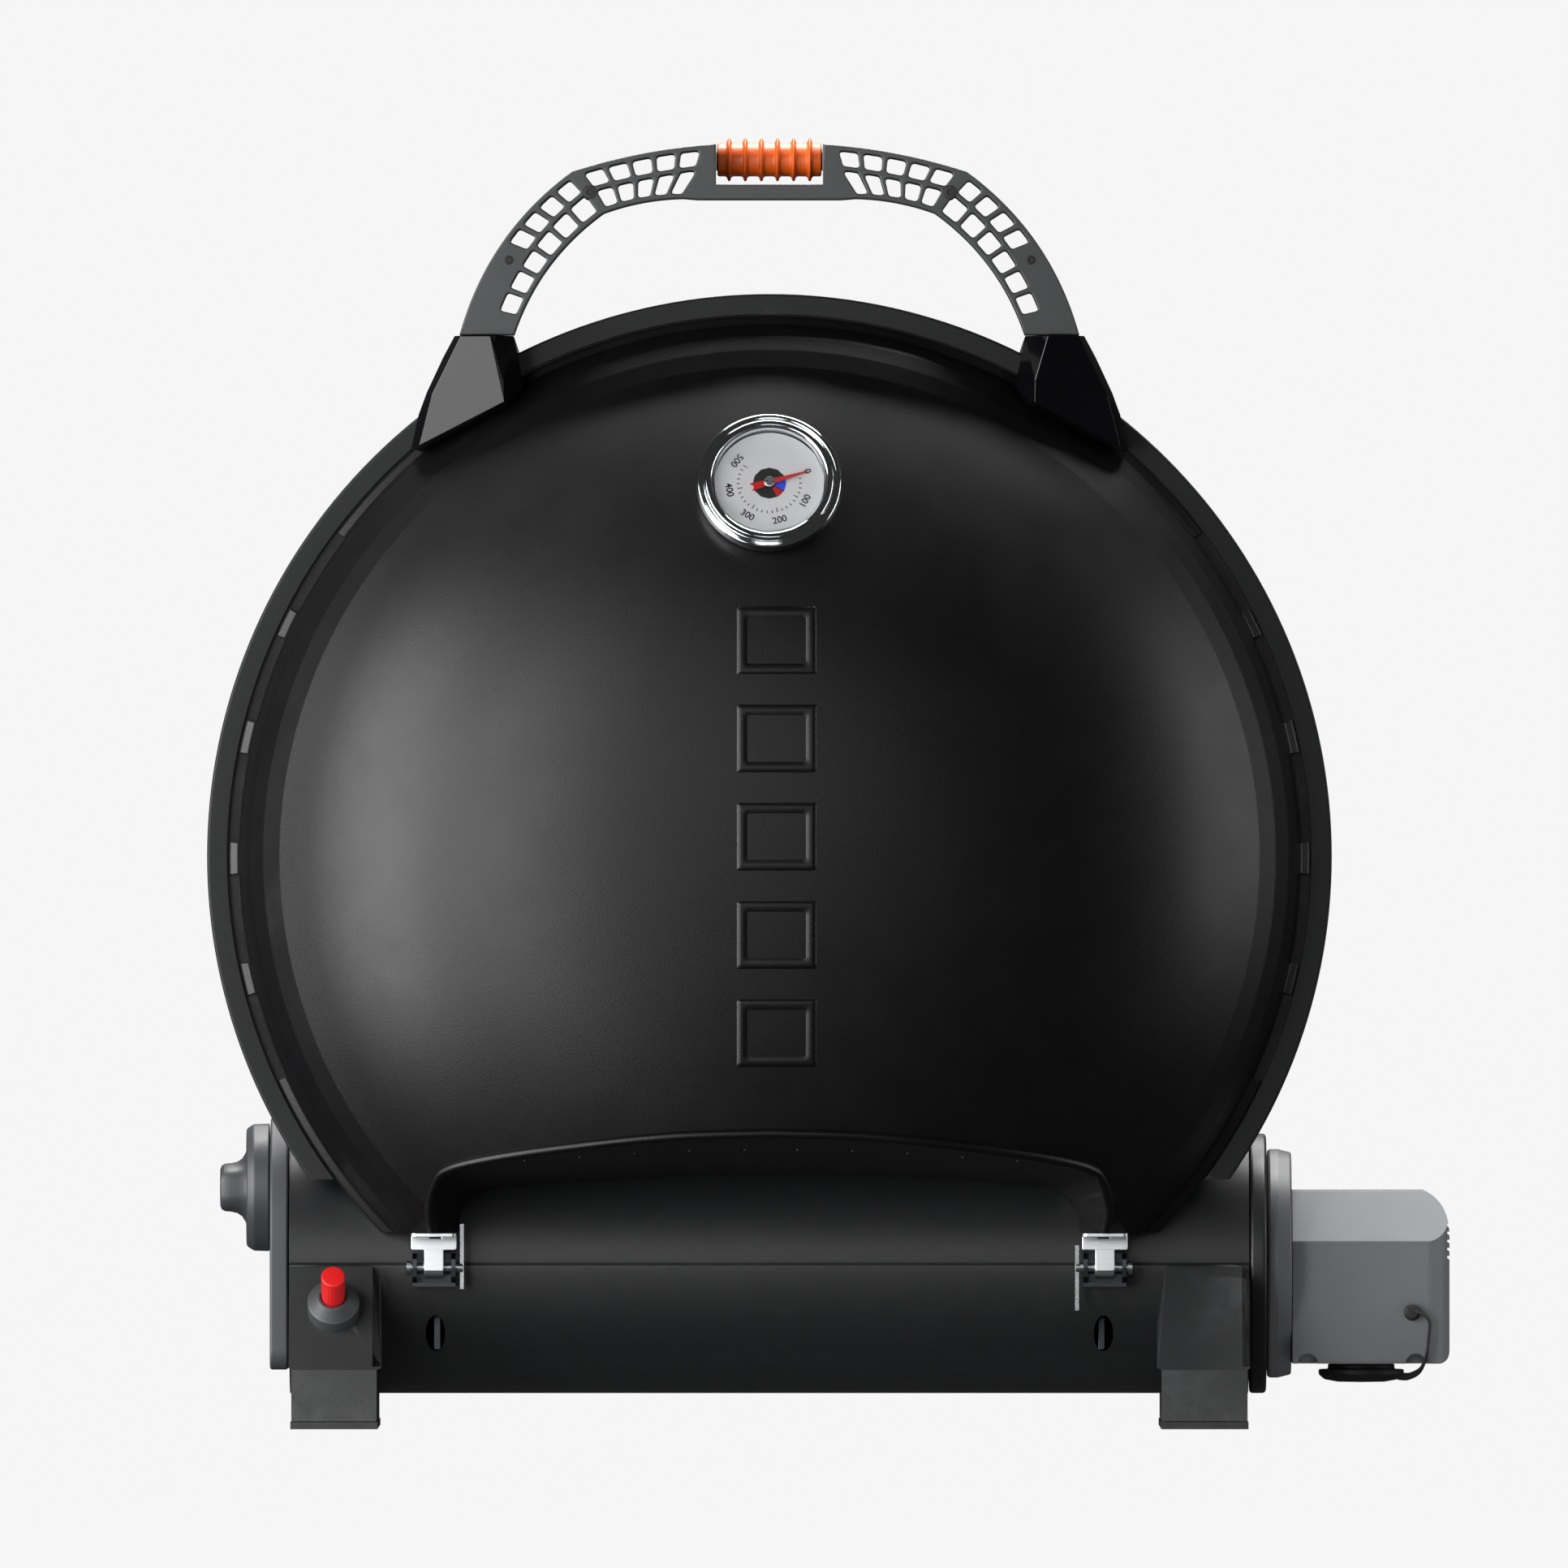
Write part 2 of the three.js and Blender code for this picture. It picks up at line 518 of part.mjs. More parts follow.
// Lock sleeve: a ribbed C-shaped barrel. Turned a quarter, its wall closes over both parts of the bar.
const ridge = [[-GRIP.half, GRIP.r]];
for (let i = 0; i < 6; i++) {
  const x = GRIP.pitch * (i - 2.5);
  ridge.push([x - 1.5, GRIP.r], [x - 0.3, GRIP.rib], [x + 0.3, GRIP.rib], [x + 1.5, GRIP.r]);
}
ridge.push([GRIP.half, GRIP.r], [GRIP.half, GRIP.bore], [-GRIP.half, GRIP.bore]);
const mouth = THREE.MathUtils.degToRad(GRIP.mouth);
const [lipY, lipZ] = [20 * Math.cos(mouth), 20 * Math.sin(mouth)];
const barrel = lathe(ridge.map(([x, r]) => [r, x]), 18).rotate([0, 0, -90]);
piece(
  "lock_sleeve",
  cut(barrel, beam([[0, 0], [lipY, lipZ], [20, 0], [lipY, -lipZ]], -30, 30)).translate([0, 0, GRIP.z]),
  "orange_plastic",
);

// ---------------------------------------------------------------- thermometer

piece(
  "thermometer_case",
  atGauge(lathe([
    [3, -4.4], [3, 9], [5.5, 9], [5.5, -1.8], [27, -1.8], [29.2, -3.8], [30.8, -7], [29.8, -9.8], [26.4, -11.2],
    [23.6, -10.4], [23.2, -4.4],
  ], 28)),
  "chrome",
);
piece(
  "thermometer_dial",
  atGauge(cut(rod("y", 22.8, -5.9, -4.8, 0, 0, 40), rod("y", 1.6, -8, 0, 0, 0, 12))),
  "dial_silver",
);
piece("thermometer_lens", atGauge(rod("y", 22.9, -10, -9, 0, 0, 40)), "glass");
piece("thermometer_probe", atGauge(join(rod("y", 2.6, 9.4, 42, 0, 0, 12), rod("y", 8.6, 9.4, 12.6, 0, 0, 6))), "steel");
const pointer = join(
  rod("y", 2.3, -7.8, -6.7, 0, 0, 14), rod("y", 1.2, -7.2, -2.4, 0, 0, 10),
  slab([[1, -1.2], [16, -0.3], [16, 0.3], [1, 1.2]], -7.6, -6.9),
  slab([[-8, -1.6], [-1, -1.2], [-1, 1.2], [-8, 1.6]], -7.6, -6.9),
);
piece("thermometer_needle", atGauge(pointer.rotate([0, -17, 0])), "red_plastic");

// ---------------------------------------------------------------- control knob and gas parts

const knobDisc = lathe([[0, 0], [KNOB.r, 0], [KNOB.r, 7], [KNOB.r - 2, 9.8], [0, 9.8]], 36);
const knobBar = [
  [-KNOB.length, -4], [-KNOB.length + 4, -KNOB.bar], [KNOB.length - 4, -KNOB.bar], [KNOB.length, -4],
  [KNOB.length, 4], [KNOB.length - 4, KNOB.bar], [-KNOB.length + 4, KNOB.bar], [-KNOB.length, 4],
];
const knobGrip = beam(knobBar.map(([y, z]) => [TUBE.y + y, KNOB.z + z]), KNOB.tip, KNOB.to + 0.5);
piece(
  "control_knob",
  join(knobDisc.rotate([0, 0, 90]).translate([KNOB.from, TUBE.y, KNOB.z]), knobGrip),
  "grey_plastic",
);
piece("valve_stem", rod("x", 3.6, KNOB.from + GAP, -198.4, TUBE.y, KNOB.z, 12), "brass");
piece("gas_valve", box(-198, -152, TUBE.y - 12, TUBE.y + 12, 87.6, 111.6), "brass");
piece("gas_pipe", sweep([
  [200, 54.5, 68.7], [180, 54.5, 68.7], [120, 34, 70], [0, 30, 72], [-120, 34, 70], [-162, 50, 69],
  [-174, 54.5, 76], [-175, 54.5, 87.2],
], circle(3.6, 6), 20), "brass");
const stemTop = BURNER.z - Math.sqrt(BURNER.ring ** 2 - BURNER.riser ** 2);
const ring = new THREE.TorusGeometry(BURNER.ring, BURNER.r, 8, 30).rotateX(Math.PI / 2);
piece("burner", join(
  solid(ring.translate(0, BURNER.y, BURNER.z)),
  sweep([
    [-148, TUBE.y, KNOB.z], [-100, TUBE.y, KNOB.z], [-74, TUBE.y, 102], [BURNER.riser, TUBE.y, 113],
    [BURNER.riser, TUBE.y, 130], [BURNER.riser, BURNER.y, stemTop + 2],
  ], circle(BURNER.r, 10), 16),
), "steel");
piece("igniter_electrode", join(
  rod("z", 3.5, 126.4, 140, ELECTRODE.x, ELECTRODE.y, 12), rod("z", 1.2, 139, 146, ELECTRODE.x, ELECTRODE.y, 8),
), "ceramic");
piece("igniter_lead", sweep([
  [BUTTON.x, 2, 40.3], [BUTTON.x, 14, 40.3], [-174, 26, 42], [-150, 34, 50], [-110, 42, 68], [-60, 48, 80],
  [-42, 54, 96], [ELECTRODE.x, ELECTRODE.y, 108], [ELECTRODE.x, ELECTRODE.y, 126],
], circle(1.2, 5), 18), "black_rubber");
piece(
  "drip_pan",
  turned([[0, 88.4], [88, 88.4], [94, 80], [95.5, 80], [89.4, 89.8], [0, 89.8]], 40),
  "steel",
);

// ---------------------------------------------------------------- cooking grates

const GRATE = { r: 205, front: 18, back: 24, foot: 128, rim: 10, pitch: 14.2, slot: 8.4, split: 0.6 };
const plate = (r, y0, y1, foot) => cut(turned([[0, y0], [r, y0], [r, y1], [0, y1]], 48), below(foot));
const slotArea = cut(
  plate(GRATE.r - GRATE.rim, 0, 40, GRATE.foot + GRATE.rim),
  box(-300, 300, 0, 60, BODY_Z - 5, BODY_Z + 5),
);
let halfGrate = plate(GRATE.r, GRATE.front, GRATE.back, GRATE.foot).intersect(box(GRATE.split, 300, 0, 60, 0, 500));
for (let i = 0; i < 13; i++) {
  const x = 8 + GRATE.pitch * i;
  halfGrate = cut(halfGrate, slotArea.intersect(box(x, x + GRATE.slot, 0, 60, 0, 500)));
}
pair("grate", halfGrate, "cast_iron");
piece(
  "grate_ledge",
  cut(
    turned([[199, 24.4], [212.8, 24.4], [211.6, 30], [210, 30], [211, 26], [199, 26]], 40),
    below(GRATE.foot),
  ),
  "steel",
);

// ---------------------------------------------------------------- regulator, which swings round the tube's axis

piece("swivel_collar", cut(
  rod("x", SWIVEL.r, SWIVEL.from, SWIVEL.to, TUBE.y, TUBE.z, 40, SWIVEL.r - 1.4),
  rod("x", END_DISC.bore, SWIVEL.from - 1, SWIVEL.to + 1, TUBE.y, TUBE.z, 20),
), "dark_plastic");
piece("swivel_fitting", rod("x", 7.4, 200.4, SWIVEL.housing - GAP, TUBE.y, TUBE.z, 16), "brass");
const { low, top, front, back, bevel, x1 } = REGULATOR;
const regulatorSide = [
  [front, low + 4], [front + 3, low], [back - 3, low], [back, low + 4], [back, top - bevel], [back - bevel, top],
  [front + bevel, top], [front, top - bevel],
];
const regulatorFront = [[SWIVEL.housing, low - 1], [SWIVEL.housing, top + 1], [262, top + 1]];
for (const [x, z] of [[266, top], [273, 98.2], [279.5, 94.5], [283.8, 89.6], [x1, 84], [x1, 33], [280, low - 0.4]])
  regulatorFront.push([x, z]);
regulatorFront.push([280, low - 1]);
let housing = cut(
  beam(regulatorSide, 215, 290).intersect(slab(regulatorFront, -20, 150)),
  rod("z", 12.6, 20, 44, REGULATOR.portX, TUBE.y, 24),
);
for (const x of [225.7, 271]) housing = cut(housing, rod("y", 4.3, front - 2, front + 12, x, low, 12));
piece("regulator_housing", housing, "grey_plastic");
piece("regulator_port", cut(
  rod("z", 12.2, low + 0.6, 43.6, REGULATOR.portX, TUBE.y, 24),
  rod("z", 9.6, 20, 40, REGULATOR.portX, TUBE.y, 24),
), "brass");
piece(
  "port_cap",
  lathe([
    [0, 39], [9, 39], [9, 26.5], [14, 26.5], [14, 24.4], [18, 24.2], [17.8, 22], [15.4, 20], [10, 19], [0, 18.8],
  ], 28).rotate([90, 0, 0]).translate([REGULATOR.portX, TUBE.y, 0]),
  "black_rubber",
);
// The strap that ties the cap to the housing's front.
piece("cap_tether", join(
  rod("y", 3.4, 14.6, front - GAP, 269.4, 48.4, 14),
  sweep([
    [269.4, 15.6, 48.4], [274, 15.4, 47.8], [276.7, 15.2, 44.6], [276.1, 15.2, 38], [275.4, 15.8, 30.6],
    [273, 20, 24.6], [268.4, 28, 21.6], [264, 36, 21.4],
  ], [[-0.8, -1.7], [0.8, -1.7], [0.8, 1.7], [-0.8, 1.7]], 20),
), "black_rubber");

// ---------------------------------------------------------------- folding front legs, flat against the bowl

const legPin = rod("x", 2.4, LEG.x - 16, LEG.x + 16, LEG.y, LEG.z, 16);
const legBore = rod("x", 2.45, LEG.x - 30, LEG.x + 30, LEG.y, LEG.z, 16);
const legFoot = LEG.z - LEG.length;
pair("leg", cut(
  join(
    rod("x", 5, LEG.x - LEG.half, LEG.x + LEG.half, LEG.y, LEG.z, 20),
    box(LEG.x - LEG.half, LEG.x + LEG.half, LEG.y - 5, LEG.y + 5, legFoot + 4.4, LEG.z),
  ),
  legBore,
), "dark_plastic");
pair("leg_pad", box(LEG.x - LEG.half - 1, LEG.x + LEG.half + 1, LEG.y - 5, LEG.y + 5.4, legFoot, legFoot + 4), "black_rubber");
pair("leg_bracket", cut(
  join(
    box(LEG.x - 16, LEG.x + 16, 80, 93.8, LEG.z - 9, LEG.z + 9),
    box(LEG.x - 16, LEG.x - LEG.half - 0.6, 90, LEG.y + 5, LEG.z - 7, LEG.z + 7),
    box(LEG.x + LEG.half + 0.6, LEG.x + 16, 90, LEG.y + 5, LEG.z - 7, LEG.z + 7),
  ),
  turned([[0, BOWL.depth + GAP], ...offset(bowlProfile, GAP).slice(1, 5), [100, 60], [0, 60]]),
  legBore,
), "satin_black_paint");
pair("leg_pin", legPin, "steel");

// ---------------------------------------------------------------- the part's own frame

const bounds = new THREE.Box3().setFromObject(grill);
const home = [-(bounds.min.x + bounds.max.x) / 2, -(bounds.min.y + bounds.max.y) / 2, -bounds.min.z];
for (const mesh of grill.children) mesh.geometry.translate(...home);

export default grill;
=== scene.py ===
# Portable tabletop gas grill, standing upright on its feet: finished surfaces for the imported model.
# Shapes are drawn in millimetres, with X from the middle of the lid, Y from the plane where lid and bowl
# meet, and Z from the floor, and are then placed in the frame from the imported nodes' own boxes.
import math

import bmesh
import bpy
from mathutils import Matrix, Vector


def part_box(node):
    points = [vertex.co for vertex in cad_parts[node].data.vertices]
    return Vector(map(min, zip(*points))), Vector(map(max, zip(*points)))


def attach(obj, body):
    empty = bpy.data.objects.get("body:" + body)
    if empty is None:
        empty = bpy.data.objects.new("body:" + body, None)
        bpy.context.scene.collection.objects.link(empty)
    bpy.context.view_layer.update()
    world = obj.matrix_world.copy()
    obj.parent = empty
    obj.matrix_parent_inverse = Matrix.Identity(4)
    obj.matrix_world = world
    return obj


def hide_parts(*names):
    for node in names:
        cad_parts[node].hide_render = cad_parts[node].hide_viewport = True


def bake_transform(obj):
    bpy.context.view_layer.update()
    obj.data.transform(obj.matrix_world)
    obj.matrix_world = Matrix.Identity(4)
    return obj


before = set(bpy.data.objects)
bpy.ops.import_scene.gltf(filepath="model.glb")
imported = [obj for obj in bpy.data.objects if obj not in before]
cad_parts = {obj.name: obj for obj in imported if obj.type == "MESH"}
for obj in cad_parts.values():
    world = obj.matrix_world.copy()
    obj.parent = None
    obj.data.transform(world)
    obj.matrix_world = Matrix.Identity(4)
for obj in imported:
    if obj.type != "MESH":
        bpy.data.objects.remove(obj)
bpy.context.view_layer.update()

MM = 0.001
TRIM_FRONT = -3.0
trim_low, trim_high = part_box("rim_trim")
MIDDLE_X = (trim_low[0] + trim_high[0]) / 2
MEETING_Y = trim_low[1] - TRIM_FRONT * MM

BODY_Z = 239.7
SHEET = 1.6
LID = {"r": 226.4, "depth": 97.4, "foot": 82.3, "edge": -0.4}
TUBE = {"r": 54.5, "y": 54.5, "z": 68.7}
GAUGE = {"z": 393.2, "tilt": math.radians(22), "seat": 98.0}
BUTTON = {"x": -182.5, "y": -12.3, "z": 49.0, "slope": math.radians(148)}
GRIP_Z = 531.5
GRIP_R = 4.6
KNOB_Z = 100.6
HINGE_X = 140.5


def place(x, y, z):
    """A point in millimetres of the drawing, in the frame's metres."""
    return Vector((MIDDLE_X + x * MM, MEETING_Y + y * MM, z * MM))


def thing_of(name, data):
    """A new object in the scene that holds some data."""
    thing = bpy.data.objects.new(name, data)
    bpy.context.scene.collection.objects.link(thing)
    return thing


def final_mesh(thing):
    """A thing's mesh as its modifiers or its curve leave it."""
    return bpy.data.meshes.new_from_object(thing.evaluated_get(bpy.context.evaluated_depsgraph_get()))


# ---------------------------------------------------------------- camera, stage and light

VIEW = {"x": 6.1, "z": 270.0, "wide": 656.9, "lens": 1200.0, "sensor": 36.0}
camera_data = bpy.data.cameras.new("camera")
camera_data.lens = VIEW["lens"]
camera_data.sensor_width = VIEW["sensor"]
camera_data.clip_end = 250.0
camera = thing_of("camera", camera_data)
camera.location = place(VIEW["x"], -VIEW["wide"] * VIEW["lens"] / VIEW["sensor"], VIEW["z"])
camera.rotation_euler = (math.pi / 2, 0, 0)
bpy.context.scene.camera = camera
bpy.context.scene.view_settings.view_transform = "Standard"


def srgb(code):
    """A colour as it is written for screens, turned into the linear values that shaders take."""
    parts = [int(code[i : i + 2], 16) / 255 for i in (0, 2, 4)]
    return [c / 12.92 if c <= 0.04045 else ((c + 0.055) / 1.055) ** 2.4 for c in parts] + [1.0]


def area_light(name, at, aim, size, power, shade=(1, 1, 1)):
    data = bpy.data.lights.new(name, "AREA")
    data.shape = "RECTANGLE"
    data.size, data.size_y = size
    data.energy = power
    data.color = shade
    lamp = thing_of(name, data)
    lamp.location = at
    lamp.rotation_euler = (Vector(aim) - Vector(at)).to_track_quat("-Z", "Y").to_euler()
    lamp.visible_camera = False


area_light("left_softbox", (-1.6, -0.85, 0.35), (-0.05, 0, 0.22), (0.75, 1.7), 54)
area_light("left_front_softbox", (-1.1, -1.75, 0.35), (-0.03, 0, 0.22), (0.75, 1.6), 32)
area_light("front_softbox", (-0.1, -3.4, 0.7), (0, 0, 0.15), (0.8, 0.7), 8)
area_light("top_strip", (0.05, 0.28, 1.7), (0.05, 0, 0.3), (1.4, 0.32), 66)
area_light("right_strip", (1.6, -0.3, 0.5), (0.1, 0, 0.25), (0.2, 1.2), 9)
area_light("rear_softbox", (0.2, 1.9, 2.3), (0, 0.08, 0.2), (2.0, 0.7), 44)


def plain(name, colour, rough=0.9):
    material = bpy.data.materials.new(name)
    material.use_nodes = True
    shader = material.node_tree.nodes["Principled BSDF"]
    shader.inputs["Base Color"].default_value = srgb(colour)
    shader.inputs["Roughness"].default_value = rough
    return material


def stage():
    """A pale round floor that bends up into a wall all round. It lies clear of the lid when that is open."""
    floor_r, floor_z, bend, high, sides = 80.0, -0.075, 4.0, 20.0, 96
    line = [(floor_r, floor_z)]
    for i in range(1, 9):
        a = math.pi / 2 * i / 8
        line.append((floor_r + bend * math.sin(a), floor_z + bend - bend * math.cos(a)))
    line.append((floor_r + bend, high))
    turns = [2 * math.pi * k / sides for k in range(sides)]
    verts = [(r * math.cos(t), r * math.sin(t), z) for r, z in line for t in turns]
    faces = [tuple(range(sides))]
    for i in range(len(line) - 1):
        for k in range(sides):
            n = (k + 1) % sides
            faces.append((i * sides + k, (i + 1) * sides + k, (i + 1) * sides + n, i * sides + n))
    mesh = bpy.data.meshes.new("stage")
    mesh.from_pydata(verts, [], faces)
    surface = plain("pale_floor", "0a0a0a")
    shader = surface.node_tree.nodes["Principled BSDF"]
    shader.inputs["Emission Color"].default_value = (1, 1, 1, 1)
    shader.inputs["Emission Strength"].default_value = 0.918
    shader.inputs["Specular IOR Level"].default_value = 0.0
    mesh.materials.append(surface)
    floor = thing_of("stage", mesh)
    floor.visible_glossy = False
    floor.visible_shadow = False


stage()
world = bpy.data.worlds.new("studio")
world.use_nodes = True
world.node_tree.nodes["Background"].inputs["Color"].default_value = (1, 1, 1, 1)
world.node_tree.nodes["Background"].inputs["Strength"].default_value = 0.03
bpy.context.scene.world = world

# ---------------------------------------------------------------- shader groups


def new_group(name, inputs, outputs):
    """An empty node group with named sockets: (tree, input node, output node)."""
    tree = bpy.data.node_groups.new(name, "ShaderNodeTree")
    for label, kind, value in inputs:
        tree.interface.new_socket(label, in_out="INPUT", socket_type=kind).default_value = value
    for label, kind in outputs:
        tree.interface.new_socket(label, in_out="OUTPUT", socket_type=kind)
    return tree, tree.nodes.new("NodeGroupInput"), tree.nodes.new("NodeGroupOutput")


def add(tree, kind, settings=(), values=(), links=()):
    """A node with its settings, its fixed input values and its incoming links."""
    node = tree.nodes.new(kind)
    for key, value in dict(settings).items():
        setattr(node, key, value)
    for key, value in dict(values).items():
        node.inputs[key].default_value = value
    for key, source in dict(links).items():
        tree.links.new(source, node.inputs[key])
    return node


FLOAT, COLOUR = "NodeSocketFloat", "NodeSocketColor"
GREY = (0.2, 0.2, 0.2, 1.0)


def feed(tree, socket, source):
    """Links a socket to another one, or sets its value."""
    if isinstance(source, bpy.types.NodeSocket):
        tree.links.new(source, socket)
    else:
        socket.default_value = source


def noise(tree, scale, detail=3.0, rough=0.5, stretch=None):
    """Noise over the object's own coordinates. stretch drags it out along an axis."""
    where = add(tree, "ShaderNodeTexCoord").outputs["Object"]
    if stretch:
        where = add(tree, "ShaderNodeMapping", values={"Scale": stretch}, links={"Vector": where}).outputs[0]
    values = {"Detail": detail, "Roughness": rough}
    node = add(tree, "ShaderNodeTexNoise", values=values, links={"Vector": where})
    feed(tree, node.inputs["Scale"], scale)
    return node.outputs["Fac"]


def spread(tree, value, low, high):
    """Stretches the middle of a noise to run from low to high."""
    ends = {"From Min": 0.35, "From Max": 0.65, "To Min": low, "To Max": high}
    return add(tree, "ShaderNodeMapRange", values=ends, links={"Value": value}).outputs[0]


def mix_colour(tree, factor, a, b):
    node = add(tree, "ShaderNodeMix", {"data_type": "RGBA"})
    for socket, source in ((0, factor), (6, a), (7, b)):
        feed(tree, node.inputs[socket], source)
    return node.outputs[2]


def math_node(tree, operation, a, b):
    node = add(tree, "ShaderNodeMath", {"operation": operation})
    for socket, source in ((0, a), (1, b)):
        feed(tree, node.inputs[socket], source)
    return node.outputs[0]


def give(tree, outs, results):
    """Links results to a group's outputs: the finished tree."""
    for label, source in results.items():
        tree.links.new(source, outs.inputs[label])
    return tree


def make_coat_group():
    """Fine sprayed or moulded surface: soft colour patches, uneven gloss and a grain to bump."""
    tree, ins, outs = new_group(
        "surface_grain",
        [("Colour", COLOUR, GREY), ("Patch Colour", COLOUR, GREY), ("Patch Scale", FLOAT, 9.0),
         ("Grain Scale", FLOAT, 900.0), ("Roughness", FLOAT, 0.5), ("Unevenness", FLOAT, 0.08)],
        [("Colour", COLOUR), ("Roughness", FLOAT), ("Height", FLOAT)],
    )
    patch = spread(tree, noise(tree, ins.outputs["Patch Scale"], 4.0, 0.6), 0.0, 1.0)
    fine = noise(tree, ins.outputs["Grain Scale"], 2.0, 0.55)
    mixed = mix_colour(tree, patch, ins.outputs["Colour"], ins.outputs["Patch Colour"])
    smear = spread(tree, noise(tree, 38.0, 5.0, 0.65), -1.0, 1.0)
    uneven = math_node(tree, "MULTIPLY", smear, ins.outputs["Unevenness"])
    rough = math_node(tree, "ADD", ins.outputs["Roughness"], uneven)
    return give(tree, outs, {"Colour": mixed, "Roughness": rough, "Height": fine})


def make_wear_group():
    """Lightens outer edges, where hands and cloths rub the surface."""
    tree, ins, outs = new_group(
        "rubbed_edges",
        [("Colour", COLOUR, GREY), ("Rubbed Colour", COLOUR, GREY), ("Amount", FLOAT, 0.3)],
        [("Colour", COLOUR)],
    )
    point = add(tree, "ShaderNodeNewGeometry").outputs["Pointiness"]
    edge = add(
        tree, "ShaderNodeMapRange", values={"From Min": 0.57, "From Max": 0.7}, links={"Value": point},
    ).outputs[0]
    broken = math_node(tree, "MULTIPLY", edge, spread(tree, noise(tree, 160.0, 4.0), 0.2, 1.0))
    factor = math_node(tree, "MULTIPLY", broken, ins.outputs["Amount"])
    mixed = mix_colour(tree, factor, ins.outputs["Colour"], ins.outputs["Rubbed Colour"])
    return give(tree, outs, {"Colour": mixed})


def make_dust_group():
    """A thin film of dust on surfaces that look up."""
    tree, ins, outs = new_group(
        "settled_dust",
        [("Colour", COLOUR, GREY), ("Dust Colour", COLOUR, GREY), ("Amount", FLOAT, 0.1)],
        [("Colour", COLOUR)],
    )
    normal = add(tree, "ShaderNodeNewGeometry").outputs["Normal"]
    up = add(tree, "ShaderNodeSeparateXYZ", links={"Vector": normal}).outputs["Z"]
    ends = {"From Min": 0.3, "From Max": 1.0}
    level = add(tree, "ShaderNodeMapRange", values=ends, links={"Value": up}).outputs[0]
    cloud = spread(tree, noise(tree, 60.0, 6.0, 0.7), 0.1, 1.0)
    factor = math_node(tree, "MULTIPLY", math_node(tree, "MULTIPLY", level, cloud), ins.outputs["Amount"])
    mixed = mix_colour(tree, factor, ins.outputs["Colour"], ins.outputs["Dust Colour"])
    return give(tree, outs, {"Colour": mixed})


def make_brush_group():
    """Fine lines that run one way, as on rolled or polished metal."""
    tree, ins, outs = new_group(
        "brushed_lines",
        [("Colour", COLOUR, GREY), ("Line Colour", COLOUR, GREY), ("Roughness", FLOAT, 0.25),
         ("Depth", FLOAT, 0.1)],
        [("Colour", COLOUR), ("Roughness", FLOAT), ("Height", FLOAT)],
    )
    line = spread(tree, noise(tree, 260.0, 3.0, 0.6, (1.0, 14.0, 14.0)), 0.0, 1.0)
    deep = math_node(tree, "MULTIPLY", line, ins.outputs["Depth"])
    mixed = mix_colour(tree, line, ins.outputs["Colour"], ins.outputs["Line Colour"])
    rough = math_node(tree, "ADD", ins.outputs["Roughness"], deep)
    return give(tree, outs, {"Colour": mixed, "Roughness": rough, "Height": line})


GROUPS = {
    "grain": make_coat_group(),
    "wear": make_wear_group(),
    "dust": make_dust_group(),
    "brush": make_brush_group(),
}

# ---------------------------------------------------------------- finishes


def use_group(tree, key, values, links=()):
    node = tree.nodes.new("ShaderNodeGroup")
    node.node_tree = GROUPS[key]
    for label, value in dict(values).items():
        node.inputs[label].default_value = value
    for label, source in dict(links).items():
        tree.links.new(source, node.inputs[label])
    return node


def material_tree(name, fixed):
    """A material whose shader has its fixed values set: (material, its tree, its shader)."""
    material = bpy.data.materials.new(name)
    material.use_nodes = True
    tree = material.node_tree
    shader = tree.nodes["Principled BSDF"]
    for label, value in fixed.items():
        shader.inputs[label].default_value = value
    return material, tree, shader


def bump(tree, shader, height, strength, distance):
    node = add(
        tree, "ShaderNodeBump", values={"Strength": strength, "Distance": distance}, links={"Height": height},
    )
    tree.links.new(node.outputs["Normal"], shader.inputs["Normal"])


def coated(name, colour, patch, rough, grain, depth, rubbed=None, wear=0.3, dust=0.05, fixed=None,
           uneven=0.05, patch_scale=9.0):
    """Paint, enamel, rubber or plastic with a grain, rubbed edges and a little dust."""
    material, tree, shader = material_tree(name, fixed or {})
    surface = use_group(tree, "grain", {
        "Colour": srgb(colour), "Patch Colour": srgb(patch), "Patch Scale": patch_scale, "Grain Scale": grain,
        "Roughness": rough, "Unevenness": uneven,
    })
    tint = surface.outputs["Colour"]
    if rubbed:
        values = {"Rubbed Colour": srgb(rubbed), "Amount": wear}
        tint = use_group(tree, "wear", values, {"Colour": tint}).outputs["Colour"]
    if dust:
        values = {"Dust Colour": srgb("a8a49c"), "Amount": dust}
        tint = use_group(tree, "dust", values, {"Colour": tint}).outputs["Colour"]
    tree.links.new(tint, shader.inputs["Base Color"])
    tree.links.new(surface.outputs["Roughness"], shader.inputs["Roughness"])
    bump(tree, shader, surface.outputs["Height"], 0.35, depth)
    return material


def metal(name, colour, line, rough, depth, fixed=None):
    """Bare metal with fine lines."""
    material, tree, shader = material_tree(name, {"Metallic": 1.0, **(fixed or {})})
    surface = use_group(tree, "brush", {
        "Colour": srgb(colour), "Line Colour": srgb(line), "Roughness": rough, "Depth": depth,
    })
    tree.links.new(surface.outputs["Colour"], shader.inputs["Base Color"])
    tree.links.new(surface.outputs["Roughness"], shader.inputs["Roughness"])
    bump(tree, shader, surface.outputs["Height"], 0.12, 0.00003)
    return material


GLOSSY = {"Specular IOR Level": 0.17, "Coat Weight": 0.1, "Coat Roughness": 0.06}
